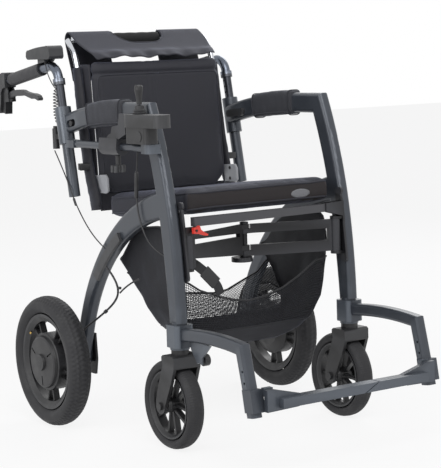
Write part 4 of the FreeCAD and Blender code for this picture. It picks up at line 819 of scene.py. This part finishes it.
def backPost(side, sign, look):
    x, body = look["x"], side + "_side"
    line = smoothPath([at(sign * x, y, z) for y, z in look["line"]], 10)

    def sleeveRing(share):
        deep = (look["deepLow"] + (look["deepHigh"] - look["deepLow"]) * share) / 1000
        if share < 0.12:
            deep *= 0.8 + 0.2 * share / 0.12
        ring = []
        for c, s in circle(1, 24):
            fold = noise.noise(Vector((share * 26, c * 1.5 + sign, s * 1.5)))
            grow = 1 + look["wrinkle"] / 12 * fold
            ring.append((look["wide"] / 1000 * grow * c, deep * grow * s))
        return ring

    sleeve = addPiece(side + "_post_sleeve", skinRows(sweep(line, sleeveRing), closed=True, caps=True),
                      sleeveCloth, body)
    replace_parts(sleeve, side + "_back_post")
    bend = smoothPath([at(sign * (x - 1), y, z) for y, z in look["bend"]], 8)
    addPiece(side + "_post_bend", cordMesh(bend, look["bendRadius"] / 1000), chromedRod, body)
    plateX = sign * (x - look["plateIn"])
    plate = plateMesh([at(plateX, y, z) for y, z in look["plate"]], Vector((sign * 0.006, 0, 0)), 0.0012)
    addPiece(side + "_back_plate", plate, greyNylon, body)
    low, high = look["wingZ"]
    padY, padZ = backLook["low"]
    lean = math.tan(math.radians(backLook["lean"]))
    wing = []  # the cover's side panel, from the cushion's edge round to the post
    for k in range(29):
        z = low + (high - low) * k / 28
        cushionY = padY + look["wingGap"] + (z - padZ) * lean
        postY = along([(p.z * 1000, p.y * 1000 + axleShift) for p in line], z)
        crease = 1.6 * noise.noise(Vector((z * 0.03, sign, 2)))
        wing.append([at(sign * (look["wingX"] + 2 * t + 10 * t * t + crease * math.sin(math.pi * t)),
                        cushionY + (postY - cushionY) * t, z) for t in (0, 0.2, 0.4, 0.6, 0.8, 1)])
    panel = addPiece(side + "_back_wing", skinRows(wing), sleeveCloth, body)
    thicken(panel, look["wingThick"])
    hook = plateMesh([at(sign * (x + dx), y, look["hookZ"]) for dx, y in look["hook"]],
                     Vector((0, 0, 0.016)), 0.0015)
    addPiece(side + "_post_hook", hook, glassNylon, body)
    for z in look["rivetZ"]:
        rivet = latheMesh([(0, 0.0045), (0.0012, 0.0042), (0.002, 0.002)], at(plateX, look["rivetY"], z),
                          (-sign, 0, 0), 20)
        addPiece("%s_back_plate_rivet_%d" % (side, z), rivet, glassNylon, body)


for side, sign in sides:
    backPost(side, sign, postLook)
print("back posts made")


# Arm pads: a knitted sleeve round each armrest, swelling between its sewn ends
armLook = {
    "x": 241, "startY": 151, "levelY": 160, "endY": 321, "z": 758, "bow": 1170, "half": 20.6, "deep": 30.4,
    "power": 2 / 4.2, "crown": 2.4, "endRound": 9, "endDraw": 3.2, "pipingMm": 1.6, "hemMm": 1.2,
    "hems": (4, 56), "fill": 0.7,
}


def armPad(side, sign, look):
    body, length = side + "_side", look["endY"] - look["startY"]
    line = []
    for k in range(61):
        y = look["startY"] + length * k / 60
        past = max(0, y - look["levelY"])
        line.append(at(sign * look["x"], y, look["z"] - past * past / (2 * look["bow"])))

    def ring(share):
        end = max(0, 1 - min(share, 1 - share) * length / look["endRound"])
        pull = look["crown"] * (1 - math.sin(math.pi * share) ** 0.5) + look["endDraw"] * end * end
        points = []
        for c, s in circle(1, 56):
            grow = noise.noise(Vector((share * 9, c * 1.3 + sign, s * 1.3))) * 0.7
            a = math.copysign(abs(c) ** look["power"], c) * (look["half"] - pull + grow)
            b = math.copysign(abs(s) ** look["power"], s) * (look["deep"] - pull + grow)
            points.append((a / 1000, b / 1000))
        return points

    pad = addPiece(side + "_arm_sleeve", skinRows(sweep(line, ring), closed=True, caps=True), padCloth,
                   body)
    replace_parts(pad, side + "_arm_pad")
    for name, offset in (("outer", sign), ("inner", -sign)):
        seam = [p + Vector((offset * (look["half"] - 1.6) / 1000, 0, -(look["deep"] - 7) / 1000))
                for p in line[3:-3]]
        addPiece("%s_arm_%s_piping" % (side, name), cordMesh(seam, look["pipingMm"] / 1000), padCloth, body)
    for index in look["hems"]:
        centre = line[index]
        hoop = [centre + (p - centre) * 1.005 for p in sweep(line[index - 1:index + 2], ring)[1]]
        addPiece("%s_arm_hem_%d" % (side, index), cordMesh(hoop, look["hemMm"] / 1000, loop=True), padCloth,
                 body)


for side, sign in sides:
    armPad(side, sign, armLook)
print("arm pads made")


# Tyres: the section is an oval; the tread is cut into it, so that its crest keeps the tyre's radius
rearTyreLook = {
    "x": 335, "y": 398, "radius": 158, "middle": 136, "half": 28, "open": 150, "pitches": 84, "perPitch": 4,
    "rows": 38, "grooveDeep": 2.2, "bands": (16, 38, 62), "ribOnly": False,
}
casterTyreLook = {
    "x": 241, "y": 0, "radius": 102.5, "middle": 90, "half": 21, "open": 152, "pitches": 110, "perPitch": 3,
    "rows": 30, "grooveDeep": 1.0, "bands": (8, 30, 56), "ribOnly": True,
}


def treadDepth(look, j, phi):  # how deep the tread is cut at one place of the section, in mm
    first, second, third = look["bands"]
    place, deep = abs(phi), look["grooveDeep"]
    if look["ribOnly"]:
        if abs(place - first) < 5:
            return deep * 1.4
        return deep if place < third and j % look["perPitch"] == 0 else 0
    if place < third:
        shift = (2 if first <= place < second else 0) + (1 if phi < 0 else 0)
        crossCut = (j + shift) % look["perPitch"] == 0
        return deep if crossCut or abs(place - first) < 4 or abs(place - second) < 4 else 0
    return -0.5 if abs(place - 100) < 4.5 else 0


def tyre(name, body, node, sign, look):
    around = look["pitches"] * look["perPitch"]
    centre = at(sign * look["x"], look["y"], look["radius"])
    rise = look["radius"] - look["middle"]
    rows = []
    for j in range(around):
        theta = 2 * math.pi * j / around
        ring = []
        for k in range(look["rows"] + 1):
            phi = -look["open"] + 2 * look["open"] * k / look["rows"]
            turn = math.radians(phi)
            depth = treadDepth(look, j, phi)
            a = math.copysign(abs(math.sin(turn)) ** 0.9, phi) * look["half"] - math.sin(turn) * depth
            r = look["middle"] + rise * math.cos(turn) - math.cos(turn) * depth
            ring.append(centre + Vector((a, r * math.sin(theta), r * math.cos(theta))) / 1000)
        rows.append(ring + [ring[-1].lerp(ring[0], t) for t in (0.33, 0.66)])
    rows.append(rows[0])
    mesh = skinRows(rows, closed=True)
    workMesh(mesh, weld)
    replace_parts(addPiece(name, mesh, tyreRubber, body), node)


for side, sign in sides:
    tyre(side + "_rear_tread", side + "_rear", side + "_rear_tyre", sign, rearTyreLook)
    tyre(side + "_caster_tread", side + "_caster", side + "_caster_tyre", sign, casterTyreLook)
print("tyres made")


# Basket: a bag hung under the seat, cloth at its sides and floor, net at its front and back
basketLook = {
    "levels": ((208, 46, 112, 95), (220, 34, 128, 135), (232, 26, 142, 160), (262, 15, 162, 186),
               (300, 6, 180, 203), (352, 0, 230, 209), (400, -7, 279, 211), (520, -7, 279, 211)),
    "frontHem": ((-212, 378), (-195, 374), (-161, 352), (-112, 333), (-66, 320), (-24, 313), (28, 319),
                 (78, 334), (123, 358), (168, 389), (212, 396)),
    "rearHem": ((-212, 380), (-150, 338), (-80, 316), (0, 308), (45, 311), (97, 325), (158, 341), (212, 370)),
    "sideHem": ((-8, 470), (30, 497), (90, 496), (150, 490), (200, 466), (250, 414), (280, 398)),
    "half": 212, "corner": 24, "netZ": 246, "netCell": 4.7, "netThread": 1.5, "clothThick": 1.6, "sag": 7,
    "footZ": (250, 257), "sideEnd": 0.985, "floorLift": 2.2, "netHemMm": 2.4, "sideHemMm": 2.2,
}


def basketPoint(look, ux, uy, z):  # ux, uy on the edge of a square from -1 to 1
    front, rear, half = (along([(row[0], row[i]) for row in look["levels"]], z) for i in (1, 2, 3))
    centreY, deep, corner = (front + rear) / 2, (rear - front) / 2, look["corner"]
    x, y = ux * half, centreY + uy * deep
    innerX = min(max(x, -half + corner), half - corner)
    innerY = min(max(y, centreY - deep + corner), centreY + deep - corner)
    way = Vector((x - innerX, y - innerY))
    if way.length > 1e-6:
        way = way.normalized() * corner
    return Vector((innerX + way.x, innerY + way.y, z))


def basketRows(look, start, end, count, hem, rowsCount, low=basketLook["levels"][0][0]):
    # start and end are (ux, uy); each column runs from the floor's edge up to its hem
    columns = []
    for k in range(count + 1):
        ux = start[0] + (end[0] - start[0]) * k / count
        uy = start[1] + (end[1] - start[1]) * k / count
        foot = basketPoint(look, ux, uy, 400)
        top = hem(foot.x, foot.y)
        out = Vector((0 if abs(ux) < 1 else ux, 0 if abs(uy) < 1 else uy, 0))
        column = []
        for r in range(rowsCount + 1):
            p = basketPoint(look, ux, uy, low + (top - low) * r / rowsCount)
            hang = math.sin(math.pi * r / rowsCount)
            uneven = look["sag"] * hang * noise.noise(p * 0.018)
            p -= out * max(0, (0.5 * look["sag"] + 1) * hang + uneven)
            column.append(at(*p))
        columns.append(column)
    return [[column[r] for column in columns] for r in range(rowsCount + 1)]


def basket(look):
    def frontTop(x, y):
        return along(look["frontHem"], x)

    def rearTop(x, y):
        return along(look["rearHem"], x)

    def sideTop(x, y):
        top = along(look["sideHem"], y)
        edge = along(look["frontHem"] if y < 40 else look["rearHem"], math.copysign(look["half"], x))
        share = min(1, (y + 8) / 26) if y < 40 else 1
        return edge + (top - edge) * share * share * (3 - 2 * share)

    def addCloth(name, rows):
        piece = addPiece("basket_" + name, skinRows(rows), bagCloth, "right_side")
        thicken(piece, look["clothThick"])
        foldsFlat(piece)
        return piece

    def addHem(name, rows, radius):
        foldingPiece("basket_%s_hem" % name, cordMesh(rows[-1], radius / 1000), webbing)

    end = look["sideEnd"]
    for side, sign in sides:
        rows = basketRows(look, (sign, -end), (sign, end), 48, sideTop, 44)
        cloth = addCloth(side + "_side", rows)
        addHem(side, rows, look["sideHemMm"])
        if side == "right":
            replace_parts(cloth, "basket")
    floorZ, front, rear, half = look["levels"][0]
    floor = []
    for r in range(13):
        share = r / 12
        ring = []
        for k in range(25):
            ux = -1 + k / 12
            p = Vector((ux * half, front + (rear - front) * share, floorZ))
            if r in (0, 12) or k in (0, 24):
                p = basketPoint(look, ux, -1 + 2 * share, floorZ)
            ring.append(at(p.x, p.y, p.z + look["floorLift"]))
        floor.append(ring)
    addCloth("floor", floor)
    for name, uy, top, footZ, netRows in (("front", -1, frontTop, look["footZ"][0], 22),
                                          ("rear", 1, rearTop, look["footZ"][1], 24)):
        addCloth(name + "_foot", basketRows(look, (-1, uy), (1, uy), 60, lambda x, y: footZ, 10))
        cells = round(2 * look["half"] / look["netCell"])
        rows = basketRows(look, (-1, uy), (1, uy), cells, top, netRows, look["netZ"])
        net = addPiece("basket_%s_net" % name, skinRows(rows), bagCloth, "right_side")
        threads = net.modifiers.new("threads", "WIREFRAME")
        threads.thickness = look["netThread"] / 1000
        settle(net)
        foldsFlat(net)
        addHem(name + "_net", rows, look["netHemMm"])


basket(basketLook)
print("basket made")


# Webbing strap with its buckle at the basket's right front corner
strapLook = {
    "line": ((-196, 1, 428), (-170, -4, 412), (-140, -6, 386), (-118, -8, 360), (-108, -6, 338)),
    "wide": 11, "thick": 0.9, "buckleShare": 0.55, "buckle": (15, 22, 4),
}


def strap(look):
    line = smoothPath([at(*p) for p in look["line"]], 10)
    wide, thick = look["wide"] / 1000, look["thick"] / 1000
    ring = [(thick, -wide), (thick, wide), (-thick, wide), (-thick, -wide)]
    mesh = skinRows(sweep(line, lambda share: ring, Vector((0, 1, 0))), closed=True, caps=True)
    band = foldingPiece("basket_strap", mesh, webbing)
    band.data.polygons.foreach_set("use_smooth", [False] * len(band.data.polygons))
    index = round(look["buckleShare"] * (len(line) - 1))
    tangent = heading(line, index)
    across = tangent.cross(Vector((0, 1, 0))).normalized()
    halfWide, halfLong, deep = (v / 1000 for v in look["buckle"])
    corners = [line[index] + across * a * halfWide + tangent * b * halfLong + Vector((0, -deep / 2, 0))
               for a, b in ((-1, -1), (1, -1), (1, 1), (-1, 1))]
    foldingPiece("basket_buckle", plateMesh(corners, Vector((0, deep, 0)), 0.0012), glassNylon)


strap(strapLook)


# Cables: fixed runs between housings and clips, and the curly lead under the right handle
cableLook = {
    "joystick_lead": ("joystick_cable", 4, ((-262.4, 74, 691.8), (-260.6, 89, 640), (-260.6, 97, 546),
                                            (-260.6, 69, 486), (-260.6, 28, 453), (-243, 6, 437))),
    "brake_lead": ("brake_cable", 3, ((-263.4, 470, 661), (-263.4, 412, 592), (-263.4, 374, 531),
                                      (-263.4, 296, 459), (-259.6, 250, 438))),
    "motor_lead": ("motor_cables", 5, ((-259.5, 248, 393), (-257, 226, 379), (-250, 208, 343),
                                       (-251, 226, 310), (-262, 300, 262), (-262, 384, 222),
                                       (-266, 398, 169))),
    "motor_branch_lead": (None, 4, ((-246, 120, 377), (-246, 176, 358), (-250, 205, 335))),
}


def cableCurve(name, diameter, points):
    curve = bpy.data.curves.new(name, "CURVE")
    curve.dimensions = "3D"
    spline = curve.splines.new("NURBS")
    spline.points.add(len(points) - 1)
    for point, place in zip(spline.points, points):
        point.co = (*at(*place), 1)
    spline.order_u = 3
    spline.use_endpoint_u = True
    spline.resolution_u = 12
    curve.bevel_depth = diameter / 2000
    curve.bevel_resolution = 4
    curve.use_fill_caps = True
    curve.materials.append(softRubber)
    piece = bpy.data.objects.new(name, curve)
    scene.collection.objects.link(piece)
    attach(piece, "right_side")
    return piece


for name, (node, diameter, points) in cableLook.items():
    piece = cableCurve(name, diameter, points)
    if node:
        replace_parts(piece, node)

# Plug, clip and ties: two rings with a groove between them, each with its ends and its radius
sleeveLook = {
    "joystick_plug": ((-260.6, 90.2, 626), (-260.6, 95.3, 566), 4.6),
    "brake_clip": ((-263.4, 385, 548.5), (-263.4, 374.5, 531.5), 3.0),
    "motor_tie": ((-250, 207, 349), (-250, 207.6, 344), 5.0),
    "lower_tie": ((-256, 262, 286.5), (-256.9, 268, 282.6), 4.5),
}
sleeveProfile = ((0, 0.75), (0.06, 1), (0.45, 1), (0.5, 0.9), (0.55, 1), (0.94, 1), (1, 0.75))
for name, (start, end, radius) in sleeveLook.items():
    run = at(*end) - at(*start)
    profile = [(run.length * share, radius / 1000 * size) for share, size in sleeveProfile]
    addPiece(name, latheMesh(profile, at(*start), run, 20), glassNylon, "right_side")

coilLook = {
    "low": (-247, 487, 729), "high": (-247, 484, 811), "turns": 11, "coilRadius": 5.4, "wire": 2.4,
    "lead": ((-252.4, 486, 822), (-262.2, 489, 846), (-262.2, 505, 883.4)), "perTurn": 14,
}


def curlyLead(look):
    low, high = Vector(look["low"]), Vector(look["high"])
    count = look["turns"] * look["perTurn"]
    spots = []
    for k in range(count + 1):
        share = k / count
        angle = 2 * math.pi * k / look["perTurn"]
        reach = look["coilRadius"] * min(1, 4 * share, 4 * (1 - share) + 0.35)
        spots.append(low.lerp(high, share) + Vector((math.cos(angle) * reach, math.sin(angle) * reach, 0)))
    spots += [Vector(p) for p in look["lead"]]
    path = smoothPath([at(*p) for p in spots], 3)
    coil = addPiece("curly_lead", cordMesh(path, look["wire"] / 2000), softRubber)
    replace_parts(coil, "coil_cable")
    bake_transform(coil)


curlyLead(coilLook)
print("cables made")


# Bolts, valves, and black discs painted as the shade inside the height tubes' holes; places are (y, z) from
# the front axle, in mm
boltLook = {
    "profile": ((0, 1), (0.35, 1), (0.55, 0.8), (0.6, 0.5), (0.35, 0.42), (0.3, 0)),
    "plateX": 226.5, "plate": ((-22, 405), (-30, 540), (4, 470)), "plateRadius": 4.5,
    "holeX": 258.2, "holeY": 462, "holeZ": 632, "holeStep": 26, "holeLean": 11, "holeLevel": 827,
    "holeRadius": 2.6, "valve": (350, 476, 218), "valveRadius": 3.4,
}


def boltHead(name, sign, place, radius, body, material=blackCoat):
    profile = [(radius * a / 1000, radius * r / 1000) for a, r in boltLook["profile"]]
    x, y, z = place
    addPiece(name, latheMesh(profile, at(sign * x, y, z), (sign, 0, 0), 24), material, body)


def bolts(side, sign, look):
    for index, (y, z) in enumerate(look["plate"]):
        boltHead("%s_plate_bolt_%d" % (side, index), sign, (look["plateX"], y, z), look["plateRadius"],
                 side + "_side")
    # The first three are black discs, painted shade inside the tube's holes; the fourth is the chromed snap
    # button
    for index in range(4):
        z = look["holeZ"] + index * look["holeStep"]
        y = look["holeY"] + (z - look["holeLevel"]) * math.tan(math.radians(look["holeLean"]))
        boltHead("%s_height_hole_%d" % (side, index), sign, (look["holeX"], y, z), look["holeRadius"],
                 side + "_height", chromedRod if index == 3 else blackCoat)
    boltHead(side + "_valve", sign, look["valve"], look["valveRadius"], side + "_rear", turnedBrass)


for side, sign in sides:
    bolts(side, sign, boltLook)

# An oval tag on the seat's front, left bare
patchLook = {"x": 118, "z": 553, "wide": 27, "high": 11, "thick": 1.1, "fromY": -60, "rings": 6}


def seatPatch(look):
    tree = BVHTree.FromObject(seatPad, bpy.context.evaluated_depsgraph_get())
    rows = []
    for ring in range(1, look["rings"] + 1):
        proud = look["thick"] / 1000 * (1 if ring < look["rings"] else 0.1)
        row = []
        for c, s in circle(ring / look["rings"], 40):
            point = at(look["x"] + look["wide"] * c, look["fromY"], look["z"] + look["high"] * s)
            place = tree.ray_cast(point, Vector((0, 1, 0)))[0] or point
            row.append(place - Vector((0, proud, 0)))
        rows.append(row)
    foldingPiece("seat_patch", skinRows(rows, closed=True, caps=True), greyFelt)


seatPatch(patchLook)
print("small pieces made")
